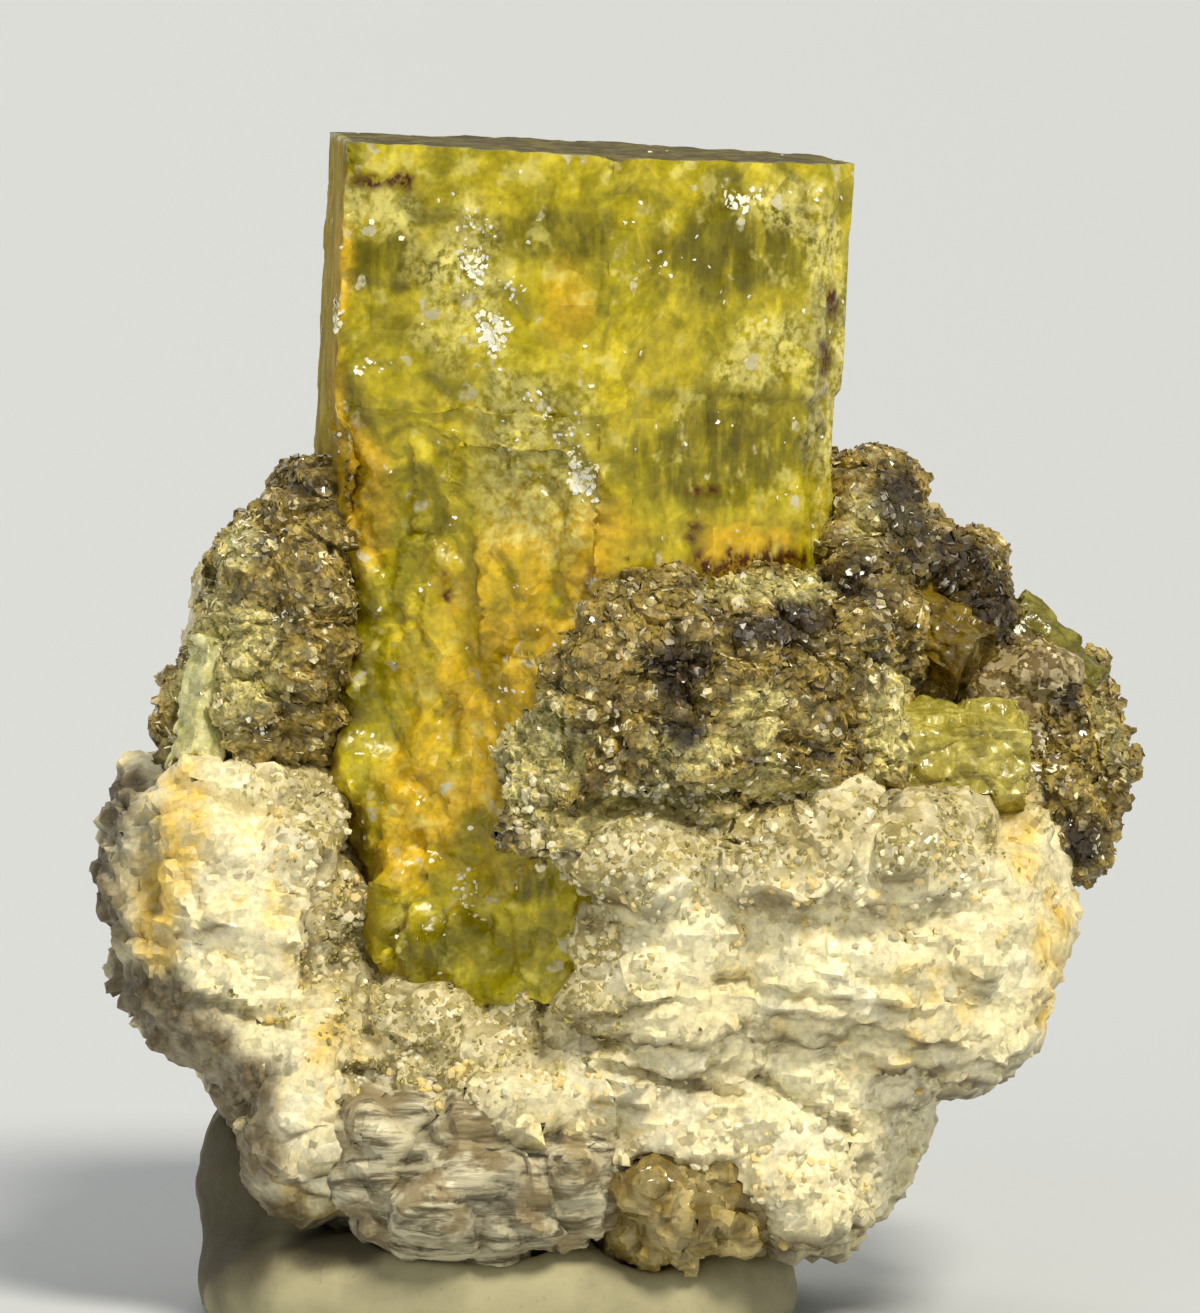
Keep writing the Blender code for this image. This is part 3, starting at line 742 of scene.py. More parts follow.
def feldspar_relief(place, normal):
    """Blocky cleavage at three sizes, ledges, open cracks and crumbly grain."""
    loose = wander(place, 3.0 * MM, 1.0 * MM)
    out = 0.42 * broken_blocks(loose, 3.6 * MM, 2.0, (1, 1, 1.4))
    out += 0.3 * broken_blocks(loose, 1.5 * MM, 6.0, (1, 1.2, 1.5))
    out += 0.2 * broken_blocks(place, 0.8 * MM, 9.0)
    out += 0.22 * swell(place, 1.9 * MM, 4.0)
    out += 0.16 * treads(loose, CLEAVAGE, 2.1 * MM) * abs(normal.dot(CLEAVAGE))
    at_left_edge = fade(-place.x, 14.5 * MM, 17.5 * MM)
    out += at_left_edge * (0.3 * broken_blocks(loose, 2.0 * MM, 15.0, (0.6, 0.6, 1.6)) - 0.2)
    out += at_left_edge * 0.8 * swell(Vector((place.x, place.y, place.z * 1.5)), 2.0 * MM, 31.0, 1)
    for start, end, width, depth in FISSURES:
        out -= depth * fissure(place, start, end, width)
    out += raised(place, FILLED_ZONES) - raised(place, SUNK_ZONES)
    return (out + 0.3 - 0.8 * fade(-place.x, 13 * MM, 19 * MM)) * MM


def feldspar_finish(colours):
    finish, tree, shader = new_finish("cream_feldspar")
    where = millimetres(tree)
    broad = grain(tree, where, 6.0, 3, 0.6)
    mid = grain(tree, where, 1.4, 3, 0.65)
    sugar = grain(tree, where, 0.4, 2, 0.7)
    block_tone, block_height = blocks(tree, where, 1.6)
    grain_tone, grain_height = blocks(tree, where, 0.4)
    height = attribute(tree, "height")

    cream = blend(tree, remap(tree, broad, 0.38, 0.62), colours.feldspar, shade(colours.feldspar, 0.88))
    cream = blend(tree, remap(tree, block_tone, 0.55, 0.95, 0, 0.6), cream, (1.0, 0.93, 0.66))
    cream = blend(tree, times(tree, attribute(tree, "bright"), 0.65), cream, (1.0, 0.92, 0.58))
    stained = times(tree, attribute(tree, "stain"), remap(tree, mid, 0.34, 0.58, 0.4, 1))
    cream = blend(tree, stained, cream, colours.stain)
    weak = times(tree, remap(tree, broad, 0.5, 0.66), remap(tree, mid, 0.45, 0.62, 0, 0.5))
    cream = blend(tree, weak, cream, colours.stain)
    speck = times(tree, remap(tree, grain_tone, 0.2, 0.7, 0.4, 1), remap(tree, mid, 0.3, 0.52, 0.45, 1))
    cream = blend(tree, times(tree, attribute(tree, "grit"), speck), cream, colours.grit)
    stray = times(tree, remap(tree, grain_tone, 0.9, 0.96), remap(tree, mid, 0.42, 0.58, 0, 0.5))
    cream = blend(tree, stray, cream, (0.34, 0.26, 0.12))
    # Painted shade: dark brown on faces that look down and in the shaded zones
    painted_shade_share = times(tree, attribute(tree, "painted_shade"), remap(tree, mid, 0.3, 0.65, 0.7, 1))
    cream = blend(tree, painted_shade_share, cream, (0.13, 0.088, 0.034))
    cream = brighten(tree, cream, sugar, 0.3, 0.68, 0.86, 1.1)
    cream = brighten(tree, cream, mid, 0.34, 0.64, 0.88, 1.06)
    # Painted shade: darker in the hollows, where the surface was pushed in, and a little lighter on the highs
    cream = brighten(tree, cream, height, -0.6, 0.3, 0.6, 1.04)
    earthy = times(tree, attribute(tree, "brown"), remap(tree, grain_tone, 0.1, 0.8, 0.5, 1))
    cream = blend(tree, earthy, cream, (0.17, 0.11, 0.03))
    bumps = relief(tree, maths(tree, "ADD", block_height, grain_height), 0.5, 1.0)
    feed(tree, shader, {
        "Base Color": cream,
        "Roughness": remap(tree, block_tone, 0, 1, 0.6, 0.3),
        "Normal": bumps,
    })
    return finish


class HELIODOR_OT_feldspar(BuildingStep, Operator):
    """Build the feldspar that the crystal stands in"""

    bl_idname = "heliodor.feldspar"
    bl_label = "Feldspar"

    def build(self, sizes, colours):
        rock = solid_copy("feldspar_rock", "feldspar_matrix")
        remesh(rock, sizes.rock_grain)
        displace(rock, feldspar_relief, keep="height")
        paint_zones(rock, "stain", STAIN_ZONES)
        paint_zones(rock, "grit", GRIT_ZONES, wobble=0.5)
        paint_zones(rock, "bright", BRIGHT_ZONES)
        paint_zones(rock, "brown", BROWN_ZONES)
        # Painted shade: high on faces that look down and in the shaded zones
        paint(rock, "painted_shade", lambda at, normal: max(fade(-normal.z, 0.45, 0.9), zones(at, SHADED_ZONES)))
        dress(rock, "feldspar_matrix", feldspar_finish(colours), 32)


# Flakes and grains, strewn over a surface by Geometry Nodes


def random_value(tree, kind, low, high, seed):
    """A random number, or a random vector, for each point."""
    numbers, output = ((0, 1), 0) if kind == "FLOAT_VECTOR" else ((2, 3), 1)
    inputs = {numbers[0]: low, numbers[1]: high, "Seed": seed}
    return put(tree, "FunctionNodeRandomValue", inputs, data_type=kind).outputs[output]


# How often flakes change their lean, per metre
LEAN_SCALE = 420.0


def lying_along(tree, normal, tilt):
    """Turns that lay a flake along the surface, leaning the same way as its neighbours by up to tilt."""
    place = put(tree, "GeometryNodeInputPosition").outputs[0]
    inputs = {"Vector": place, "Scale": LEAN_SCALE, "Detail": 1.0}
    colour = put(tree, "ShaderNodeTexNoise", inputs).outputs["Color"]
    lean = vectors(tree, "SUBTRACT", colour, (0.5, 0.5, 0.5)).outputs[0]
    lean = put(tree, "ShaderNodeVectorMath", {0: lean, "Scale": tilt}, operation="SCALE").outputs[0]
    up = vectors(tree, "ADD", normal, lean).outputs[0]
    return put(tree, "FunctionNodeAlignRotationToVector", {"Vector": up}, axis="Z").outputs[0]


def strewn_tree(name, shape_kind, shape_inputs, keep_surface):
    """A tree that strews small solids over a surface, more where the attribute named many is high."""
    tree = bpy.data.node_groups.new(name, "GeometryNodeTree")
    sockets = tree.interface
    sockets.new_socket("Surface", in_out="INPUT", socket_type="NodeSocketGeometry")
    for label in ("Per square millimetre", "Smallest", "Largest", "Thickness", "Lean", "Tilt", "Sink"):
        sockets.new_socket(label, in_out="INPUT", socket_type="NodeSocketFloat")
    sockets.new_socket("Seed", in_out="INPUT", socket_type="NodeSocketInt")
    sockets.new_socket("Finish", in_out="INPUT", socket_type="NodeSocketMaterial")
    sockets.new_socket("Geometry", in_out="OUTPUT", socket_type="NodeSocketGeometry")
    given = tree.nodes.new("NodeGroupInput").outputs

    many = put(tree, "GeometryNodeInputNamedAttribute", {"Name": "many"}, data_type="FLOAT")
    density = times(tree, given["Per square millimetre"], 1 / MM**2)
    density = times(tree, density, many.outputs["Attribute"])
    inputs = {"Mesh": given["Surface"], "Density": density, "Seed": given["Seed"]}
    points = put(tree, "GeometryNodeDistributePointsOnFaces", inputs).outputs
    unit = put(tree, shape_kind, shape_inputs).outputs["Mesh"]

    tilt, back_tilt = given["Tilt"], times(tree, given["Tilt"], -1.0)
    low = put(tree, "ShaderNodeCombineXYZ", {0: back_tilt, 1: back_tilt, 2: -math.pi}).outputs[0]
    high = put(tree, "ShaderNodeCombineXYZ", {0: tilt, 1: tilt, 2: math.pi}).outputs[0]
    turn = random_value(tree, "FLOAT_VECTOR", low, high, given["Seed"])
    lie = lying_along(tree, points["Normal"], given["Lean"])
    lie = put(tree, "FunctionNodeRotateRotation", {0: lie, 1: turn}, rotation_space="LOCAL").outputs[0]
    width = random_value(tree, "FLOAT", given["Smallest"], given["Largest"], given["Seed"])
    uneven = random_value(tree, "FLOAT", 0.55, 1.0, 7)
    thick = times(tree, width, given["Thickness"])
    size = put(tree, "ShaderNodeCombineXYZ", {0: width, 1: times(tree, width, uneven), 2: thick}).outputs[0]
    inputs = {"Points": points["Points"], "Instance": unit, "Rotation": lie, "Scale": size}
    strewn = put(tree, "GeometryNodeInstanceOnPoints", inputs).outputs["Instances"]
    out = put(tree, "ShaderNodeCombineXYZ", {2: times(tree, width, given["Sink"])}).outputs[0]
    inputs = {"Instances": strewn, "Translation": out}
    strewn = put(tree, "GeometryNodeTranslateInstances", inputs).outputs[0]
    inputs = {"Geometry": strewn, "Name": "tone", "Value": random_value(tree, "FLOAT", 0.0, 1.0, 11)}
    strewn = put(tree, "GeometryNodeStoreNamedAttribute", inputs, domain="INSTANCE").outputs[0]
    joined = tree.nodes.new("GeometryNodeJoinGeometry")
    tree.links.new(strewn, joined.inputs[0])
    if keep_surface:
        tree.links.new(given["Surface"], joined.inputs[0])
    solid = put(tree, "GeometryNodeRealizeInstances", {0: joined.outputs[0]}).outputs[0]
    inputs = {"Geometry": solid, "Material": given["Finish"]}
    last = put(tree, "GeometryNodeSetMaterial", inputs).outputs[0]
    tree.links.new(last, tree.nodes.new("NodeGroupOutput").inputs[0])
    return tree


def strew(piece, tree, values):
    """Run a strewing tree on the piece with these inputs, set by each socket's identifier, and bake it."""
    step = piece.modifiers.new("strewn", "NODES")
    step.node_group = tree
    for item in tree.interface.items_tree:
        if item.in_out == "INPUT" and item.name in values:
            step[item.identifier] = values[item.name]
    return bake(piece)


PLATE = ("GeometryNodeMeshCylinder", {"Vertices": 5, "Radius": 0.5, "Depth": 1.0})
CRUMB = ("GeometryNodeMeshIcoSphere", {"Radius": 0.5, "Subdivisions": 1})


# The mica

MICA_FINISH = "mica_plates"

# Direction across the plates, and the seed of each crust
MICA_PIECES = {
    "mica_left": ((0.42, -0.3, 0.85), 3),
    "mica_front": ((0.3, -0.55, 0.78), 5),
    "mica_ridge": ((-0.3, -0.5, 0.8), 8),
    "mica_book": ((0.8, -0.4, 0.45), 12),
}
PALE_MICA_ZONES = [
    ((-13.0, -6, 32.6), (3.4, 6, 4.4)),
    ((-13.2, -6, 39.0), (1.8, 5, 1.8)),
    ((12.0, -15, 25.4), (11.0, 6, 3.4)),
    ((9.6, -15, 29.6), (3.4, 5, 1.3)),
    ((12.6, -15, 31.4), (2.2, 5, 1.5)),
    ((13.4, -12, 37.0), (4.4, 5, 0.8)),
    ((2.0, -15, 29.0), (2.6, 4, 3.8)),
    ((19.6, -12, 30.0), (2.4, 5, 3.0)),
    ((29.6, -3, 28.6), (1.6, 5, 3.0)),
    ((19.0, -4, 39.6), (2.0, 5, 2.0)),
]
DARK_MICA_ZONES = [
    ((19.8, -4, 39.6), (1.8, 8, 3.2)),
    ((24.4, -3, 35.6), (1.6, 8, 2.2)),
    ((13.4, -13, 35.4), (3.4, 5, 1.3)),
    ((8.6, -15, 33.4), (2.6, 4, 2.4)),
    ((17.6, -9, 35.4), (1.8, 5, 3.4)),
    ((9.0, -15, 30.2), (1.8, 4, 1.4)),
    ((22.8, -3, 37.6), (2.4, 5, 2.0)),
    ((27.8, -5, 31.4), (1.6, 5, 1.4)),
    ((-9.0, -5, 41.0), (1.6, 4, 1.6)),
    ((28.6, -6, 24.0), (1.6, 4, 1.6)),
]


# Where the mica thins out into the rock beside it, and by how much, in millimetres
THIN_MICA_ZONES = [
    ((11.6, -15, 25.2), (11.0, 7, 2.8), 2.6),
    ((2.0, -15, 27.4), (2.6, 6, 4.0), 1.2),
    ((-12.0, -9, 28.6), (5.0, 6, 2.0), 1.0),
    ((31.6, -4, 28.0), (3.4, 12, 7.0), 0.9),
]
# Where the mica swells up against the crystal
FULL_MICA_ZONES = [
    ((-8.4, -7, 34.0), (2.0, 8, 10.0), 1.1),
    ((18.4, -6, 38.0), (1.6, 6, 5.0), 0.6),
]


def mica_relief(across, seed):
    """Stacked plates: each plate has its own level, and its edges stand as small steps."""
    across = Vector(across).normalized()

    def rule(place, normal):
        loose = wander(place, 2.2 * MM, 0.9 * MM)
        out = 0.5 * broken_blocks(loose, 2.1 * MM, seed) + 0.26 * broken_blocks(place, 0.9 * MM, seed + 3)
        out += 0.4 * treads(loose, across, 0.7 * MM) + 0.3 * swell(place, 1.5 * MM, seed + 5.0)
        hollow = 1.1 * max(0.0, swell(place, 2.4 * MM, seed + 9.0, 2) - 0.1)
        thinned, filled = raised(place, THIN_MICA_ZONES), raised(place, FULL_MICA_ZONES)
        return (out - hollow - thinned + filled + 0.5) * MM

    return rule


def mica_finish(colours):
    finish, tree, shader = new_finish(MICA_FINISH)
    where = millimetres(tree)
    patch = grain(tree, where, 2.0, 3, 0.65)
    fine = grain(tree, where, 0.3, 2, 0.65)
    tone = attribute(tree, "tone")
    plate_tone, plate_height = blocks(tree, where, 0.55)
    darker, lighter = shade(colours.mica, 0.5), shade(colours.mica, 1.35)
    brown = blend(tree, remap(tree, patch, 0.38, 0.6), darker, lighter)
    brown = blend(tree, remap(tree, tone, 0.35, 0.95, 0, 0.6), brown, (0.46, 0.37, 0.11))
    pale = times(tree, attribute(tree, "pale"), remap(tree, patch, 0.3, 0.58, 0.45, 0.95))
    brown = blend(tree, pale, brown, (0.62, 0.55, 0.2))
    dark = times(tree, attribute(tree, "dark"), 0.9)
    brown = blend(tree, dark, brown, (0.028, 0.016, 0.006))
    # Silver on a few flakes at random: partly the mica's own silvery colour, partly painted sparkle where
    # flakes would catch the light
    bright = times(tree, remap(tree, tone, 0.86, 0.97), maths(tree, "SUBTRACT", 1.0, dark))
    brown = blend(tree, bright, brown, colours.silver)
    brown = brighten(tree, brown, fine, 0.32, 0.66, 0.6, 1.3)
    brown = brighten(tree, brown, plate_tone, 0, 1, 0.65, 1.3)
    feed(tree, shader, {
        "Base Color": brown,
        "Roughness": remap(tree, tone, 0, 1, 0.4, 0.16),
        "IOR": MICA_IOR,
        "Normal": relief(tree, plate_height, 0.8, 0.9),
    })
    return finish


def paint_mica(piece):
    paint_zones(piece, "pale", PALE_MICA_ZONES, wobble=0.5)
    paint_zones(piece, "dark", DARK_MICA_ZONES, wobble=0.5)


class HELIODOR_OT_mica(BuildingStep, Operator):
    """Build the mica crusts, with flakes strewn over each"""

    bl_idname = "heliodor.mica"
    bl_label = "Mica"

    def build(self, sizes, colours):
        finish = mica_finish(colours)
        tree = strewn_tree("mica_flakes", *PLATE, True)
        for name, (across, seed) in MICA_PIECES.items():
            crust = solid_copy(name + "_crust", name)
            remesh(crust, sizes.fine_grain)
            displace(crust, mica_relief(across, seed))
            paint(crust, "many", lambda at, normal: fade(normal.z - normal.y, -0.9, 0.6))
            values = {
                "Per square millimetre": 8.4,
                "Smallest": sizes.flake_small,
                "Largest": sizes.flake_large,
                "Thickness": 0.14,
                "Lean": 1.3,
                "Tilt": 0.3,
                "Sink": -0.02,
                "Seed": seed,
                "Finish": finish,
            }
            strew(crust, tree, values)
            paint_mica(crust)
            dress(crust, name, finish, 28)


# Loose grains where the crystal and the mica meet the feldspar

CRUMB_ZONES = [
    ((12.0, -15, 22.6), (13.0, 8, 3.0)),
    ((1.0, -12, 12.8), (8.0, 6, 1.5)),
    ((-8.0, -9, 24.0), (3.0, 6, 7.0)),
    ((14.0, -12, 9.0), (9.0, 8, 3.0)),
    ((4.0, 12, 18.0), (18.0, 8, 8.0)),
]
BORDER_ZONES = [
    ((12.0, -15, 25.4), (11.0, 8, 2.6)),
    ((2.4, -15, 26.0), (2.0, 8, 2.6)),
]
# Where bright plates are strewn over the mica as painted glints
MICA_FLASHES = [
    ((-12.6, -8, 39.4), (1.3, 7, 1.0)),
    ((-11.6, -9, 29.8), (1.5, 7, 0.7)),
    ((-10.4, -8, 35.4), (0.5, 7, 0.5)),
    ((8.6, -15, 27.3), (3.8, 7, 0.5)),
    ((14.0, -15, 25.8), (0.6, 7, 0.5)),
    ((6.0, -15, 31.0), (0.7, 7, 0.4)),
    ((17.6, -9, 37.6), (0.9, 7, 1.4)),
    ((19.6, -5, 39.8), (0.8, 7, 0.9)),
    ((23.0, -4, 37.2), (0.9, 7, 0.5)),
    ((27.2, -5, 28.2), (1.1, 7, 1.5)),
    ((29.8, -4, 23.6), (0.6, 7, 0.8)),
]
# Bright splinters, partly painted glints: piece, what they lie on, its slot, zones, share elsewhere, number a
# mm², largest in mm
SPLINTERS = [
    ("crystal_splinters_and_painted_glints", "golden_crystal", "heliodor", GLINTS, 0.015, 7.0, 0.38),
    ("crystal_flashes", "golden_crystal", "heliodor", FLASHES, 0.0, 26.0, 0.55),
    ("left_flashes", "mica_left_crust", "mica", MICA_FLASHES, 0.0, 4.0, 0.55),
    ("front_flashes", "mica_front_crust", "mica", MICA_FLASHES, 0.0, 3.0, 0.5),
    ("ridge_flashes", "mica_ridge_crust", "mica", MICA_FLASHES, 0.0, 2.0, 0.45),
    ("book_flashes", "mica_book_crust", "mica", MICA_FLASHES, 0.0, 3.0, 0.6),
]
FLAKE_SEED, CRUMB_SEED, SPLINTER_SEED = 31, 37, 41


def grain_source(name, dressed, places, elsewhere=0.0):
    """A copy of a dressed piece's surface, with the attribute named many high only in these zones."""
    source = new_piece(name, bpy.data.objects[dressed].data.copy())

    def many(at, normal):
        return max(elsewhere, zones(at, places, wobble=0.9)) * fade(-normal.y, 0.0, 0.4)

    paint(source, "many", many)
    return source


def painted_glint_finish():
    """Mirror-bright and near-white, as painted glints: brighter than any stone's own IOR would be."""
    finish, tree, shader = new_finish("bright_splinters")
    tone = blend(tree, attribute(tree, "tone"), (1.0, 0.95, 0.6), (1.0, 1.0, 0.95))
    feed(tree, shader, {"Base Color": tone, "Roughness": 0.12, "IOR": 1.8})
    return finish


def crumb_finish(colours):
    finish, tree, shader = new_finish("feldspar_crumbs")
    where = millimetres(tree)
    tone = attribute(tree, "tone")
    cream = blend(tree, remap(tree, tone, 0, 1), shade(colours.feldspar, 0.6), (0.95, 0.88, 0.6))
    cream = blend(tree, remap(tree, grain(tree, where, 2.0), 0.5, 0.62, 0, 0.6), cream, colours.stain)
    feed(tree, shader, {
        "Base Color": cream,
        "Roughness": remap(tree, tone, 0, 1, 0.55, 0.25),
        "Normal": relief(tree, grain(tree, where, 0.3), 0.05, 0.6),
    })
    return finish


class HELIODOR_OT_grains(BuildingStep, Operator):
    """Strew mica and feldspar grains over the rock, and bright splinters, partly painted glints, over the
    crystal and the mica
    """

    bl_idname = "heliodor.grains"
    bl_label = "Loose grains"

    def build(self, sizes, colours):
        mica = bpy.data.materials[MICA_FINISH]
        flakes = grain_source("contact_flakes", "feldspar_rock", GRIT_ZONES + BROWN_ZONES)
        values = {
            "Per square millimetre": 6.5,
            "Smallest": sizes.flake_small * 0.8,
            "Largest": sizes.flake_large * 0.6,
            "Thickness": 0.2,
            "Lean": 1.8,
            "Tilt": 0.6,
            "Sink": 0.1,
            "Seed": FLAKE_SEED,
            "Finish": mica,
        }
        strew(flakes, strewn_tree("contact_flakes", *PLATE, False), values)
        paint_mica(flakes)
        paint(flakes, "pale", lambda at, normal: 0.85 - 0.8 * zones(at, BROWN_ZONES))
        dress(flakes, None, mica, 28)
        crumbs = grain_source("feldspar_crumbs", "feldspar_rock", CRUMB_ZONES)
        values.update({
            "Per square millimetre": 1.6,
            "Smallest": 0.25 * MM,
            "Largest": 0.8 * MM,
            "Thickness": 0.6,
            "Lean": 1.0,
            "Tilt": 1.2,
            "Sink": 0.0,
            "Seed": CRUMB_SEED,
            "Finish": crumb_finish(colours),
        })
        tree = strewn_tree("feldspar_crumbs", *CRUMB, False)
        strew(crumbs, tree, values)
        dress(crumbs, None, values["Finish"], 10)
        border = grain_source("border_crumbs", "mica_front_crust", BORDER_ZONES)
        strew(border, tree, values)
        dress(border, None, values["Finish"], 10)
        values.update({
            "Smallest": 0.08 * MM,
            "Thickness": 0.1,
            "Lean": 0.8,
            "Tilt": 0.5,
            "Sink": 0.08,
            "Seed": SPLINTER_SEED,
            "Finish": painted_glint_finish(),
        })
        tree = strewn_tree("splinters", *PLATE, False)
        # Bright plates, partly painted glints, where the crystal and the mica throw light back
        for name, lie_on, slot, places, elsewhere, number, largest in SPLINTERS:
            splinters = grain_source(name, lie_on, places, elsewhere)
            values.update({"Per square millimetre": number, "Largest": largest * MM})
            strew(splinters, tree, values)
            dress(splinters, None, values["Finish"], 10)


# The small beryls: dark and light colour, and how clear each is

SMALL_BERYLS = {
    "beryl_block": ((0.42, 0.35, 0.035), (0.76, 0.66, 0.14), 0.25),
    "beryl_wedge": ((0.2, 0.165, 0.012), (0.44, 0.39, 0.06), 0.4),
    "beryl_olive": ((0.17, 0.1, 0.006), (0.38, 0.26, 0.02), 0.4),
    "beryl_pale": ((0.74, 0.7, 0.26), (0.98, 0.94, 0.5), 0.2),
}


def small_beryl_finish(name, colour, light, clear):
    finish, tree, shader = new_finish(name)
    where = millimetres(tree)
    cloud = grain(tree, where, 1.6, 5, 0.7, 0.8)
    fine = grain(tree, where, 0.4, 3, 0.65)
    block_tone, block_height = blocks(tree, warped(tree, where, 1.0, 0.8), 1.0)
    tone = blend(tree, remap(tree, cloud, 0.4, 0.6), colour, light)
    tone = brighten(tree, tone, block_tone, 0, 1, 0.8, 1.15)
    tone = brighten(tree, tone, fine, 0.32, 0.66, 0.82, 1.15)
    tone = blend(tree, remap(tree, fine, 0.62, 0.72, 0, 0.4), tone, (0.2, 0.13, 0.03))
    bumps = relief(tree, block_height, 0.35, 0.7)
    feed(tree, shader, {
        "Base Color": tone,
        "Roughness": remap(tree, fine, 0.3, 0.7, 0.1, 0.4),
        "Transmission Weight": clear,
        "IOR": BERYL_IOR,
        "Normal": relief(tree, fine, 0.05, 0.6, bumps),
    })
    return finish


def small_beryl_relief(place, normal):
    """Growth steps and chips, mostly inwards."""
    loose = wander(place, 1.4 * MM, 0.5 * MM)
    steps = 0.55 * max(0.0, broken_blocks(loose, 1.9 * MM, 14.0, (1, 1, 1.4)))
    return (0.2 - steps - 0.16 * (1 + swell(place, 1.0 * MM, 15.0))) * MM


class HELIODOR_OT_small_beryls(BuildingStep, Operator):
    """Build the small beryl crystals in the flanks"""

    bl_idname = "heliodor.small_beryls"
    bl_label = "Small beryls"

    def build(self, sizes, colours):
        fine = sizes.fine_grain
        for name, (colour, light, clear) in SMALL_BERYLS.items():
            crystal = solid_copy("small_" + name, name)
            split_long_edges(crystal, fine)
            displace(crystal, small_beryl_relief)
            dress(crystal, name, small_beryl_finish(name, colour, light, clear), 26)


# The albite and the quartz

ALBITE_SWEEP = math.radians(-24)


def albite_relief(place, normal):
    """Silky fibres that sweep up to the right, in overlapping scales."""
    along = Matrix.Rotation(ALBITE_SWEEP, 3, "Y") @ wander(place, 3.0 * MM, 1.4 * MM)
    fibre = Vector((along.x * 0.1, along.y * 0.4, along.z * 0.9))
    out = 0.5 * swell(fibre, 0.8 * MM, 21.0) + 0.5 * swell(along, 2.6 * MM, 27.0, 2)
    out += 0.4 * broken_blocks(along, 3.4 * MM, 22.0, (0.5, 1, 1.2))
    return (out + 0.7) * MM


def albite_finish():
    finish, tree, shader = new_finish("silky_albite")
    where = millimetres(tree)
    turned = millimetres(tree, (0.16, 0.6, 1.0), (0, -ALBITE_SWEEP, 0))
    fibres = grain(tree, warped(tree, turned, 3.0, 2.6), 0.6, 4, 0.65)
    patch = grain(tree, where, 2.2, 3, 0.6)
    tone = blend(tree, remap(tree, fibres, 0.36, 0.58), (0.1, 0.08, 0.032), (0.63, 0.57, 0.37))
    tone = blend(tree, remap(tree, patch, 0.48, 0.6, 0, 0.75), tone, (0.25, 0.18, 0.07))
    # Painted shade and highlight: darker where the surface is low, lighter on the raised fibres
    tone = brighten(tree, tone, attribute(tree, "height"), 0.0, 1.3, 0.5, 1.15)
    feed(tree, shader, {
        "Base Color": tone,
        "Roughness": remap(tree, fibres, 0.3, 0.7, 0.55, 0.3),
        "Sheen Weight": 0.15,
        "Normal": relief(tree, fibres, 0.2, 0.8),
    })
    return finish


def quartz_relief(place, normal):
    loose = wander(place, 2.0 * MM, 0.8 * MM)
    bowls = 0.4 * shell_bowls(loose, 2.1 * MM, 33.0) + 0.2 * shell_bowls(place, 0.9 * MM, 35.0)
    return (0.55 - bowls + 0.5 * broken_blocks(loose, 1.9 * MM, 34.0)) * MM


def quartz_finish():
    finish, tree, shader = new_finish("glassy_quartz")
    cloud = grain(tree, millimetres(tree), 1.6, 4, 0.6, 0.4)
    fine = grain(tree, millimetres(tree), 0.4, 3)
    block_tone, block_height = blocks(tree, millimetres(tree), 0.9)
    tone = blend(tree, remap(tree, cloud, 0.38, 0.6), (0.32, 0.22, 0.045), (0.63, 0.5, 0.19))
    tone = brighten(tree, tone, block_tone, 0, 1, 0.65, 1.25)
    tone = blend(tree, remap(tree, fine, 0.6, 0.72, 0, 0.6), tone, (0.2, 0.12, 0.04))
    feed(tree, shader, {
        "Base Color": tone,
        "Roughness": remap(tree, fine, 0.3, 0.7, 0.1, 0.3),
        "Transmission Weight": 0.3,
        "IOR": QUARTZ_IOR,
        "Normal": relief(tree, block_height, 0.6, 0.9),
    })
    return finish


class HELIODOR_OT_albite_and_quartz(BuildingStep, Operator):
    """Build the white albite lump and the glassy quartz beside it"""

    bl_idname = "heliodor.albite_and_quartz"
    bl_label = "Albite and quartz"

    def build(self, sizes, colours):
        fine = sizes.fine_grain
        albite = solid_copy("albite_fibres", "albite_lump")
        remesh(albite, fine)
        displace(albite, albite_relief, keep="height")
        dress(albite, "albite_lump", albite_finish(), 26)
        quartz = solid_copy("quartz_glass", "quartz_chunk")
        remesh(quartz, fine)
        displace(quartz, quartz_relief)
        dress(quartz, "quartz_chunk", quartz_finish(), 22)


# The putty

# Where a shadow is painted on the putty: on its left under the rock's overhang, and under the rock's front on
# the left
PAINTED_SHADOW_ZONES = [
    ((-13.6, -5, 7.4), (4.2, 14, 7.0)),
    ((-9.0, -11, 4.6), (3.0, 6, 1.5)),
]


def putty_relief(place, normal):
    """Thumb dents and fine drag lines, fading to nothing at the flat foot."""
    lift = fade(place.z, 0.2 * MM, 1.6 * MM)
    dents = 0.1 * swell(place, 1.8 * MM, 52.0, 2) - 0.3 * max(0.0, swell(place, 5 * MM, 51.0, 2))
    drag = Vector((place.x * 0.3, place.y * 0.3, place.z * 1.3))
    return (dents + 0.05 * swell(drag, 0.9 * MM, 53.0)) * lift * MM


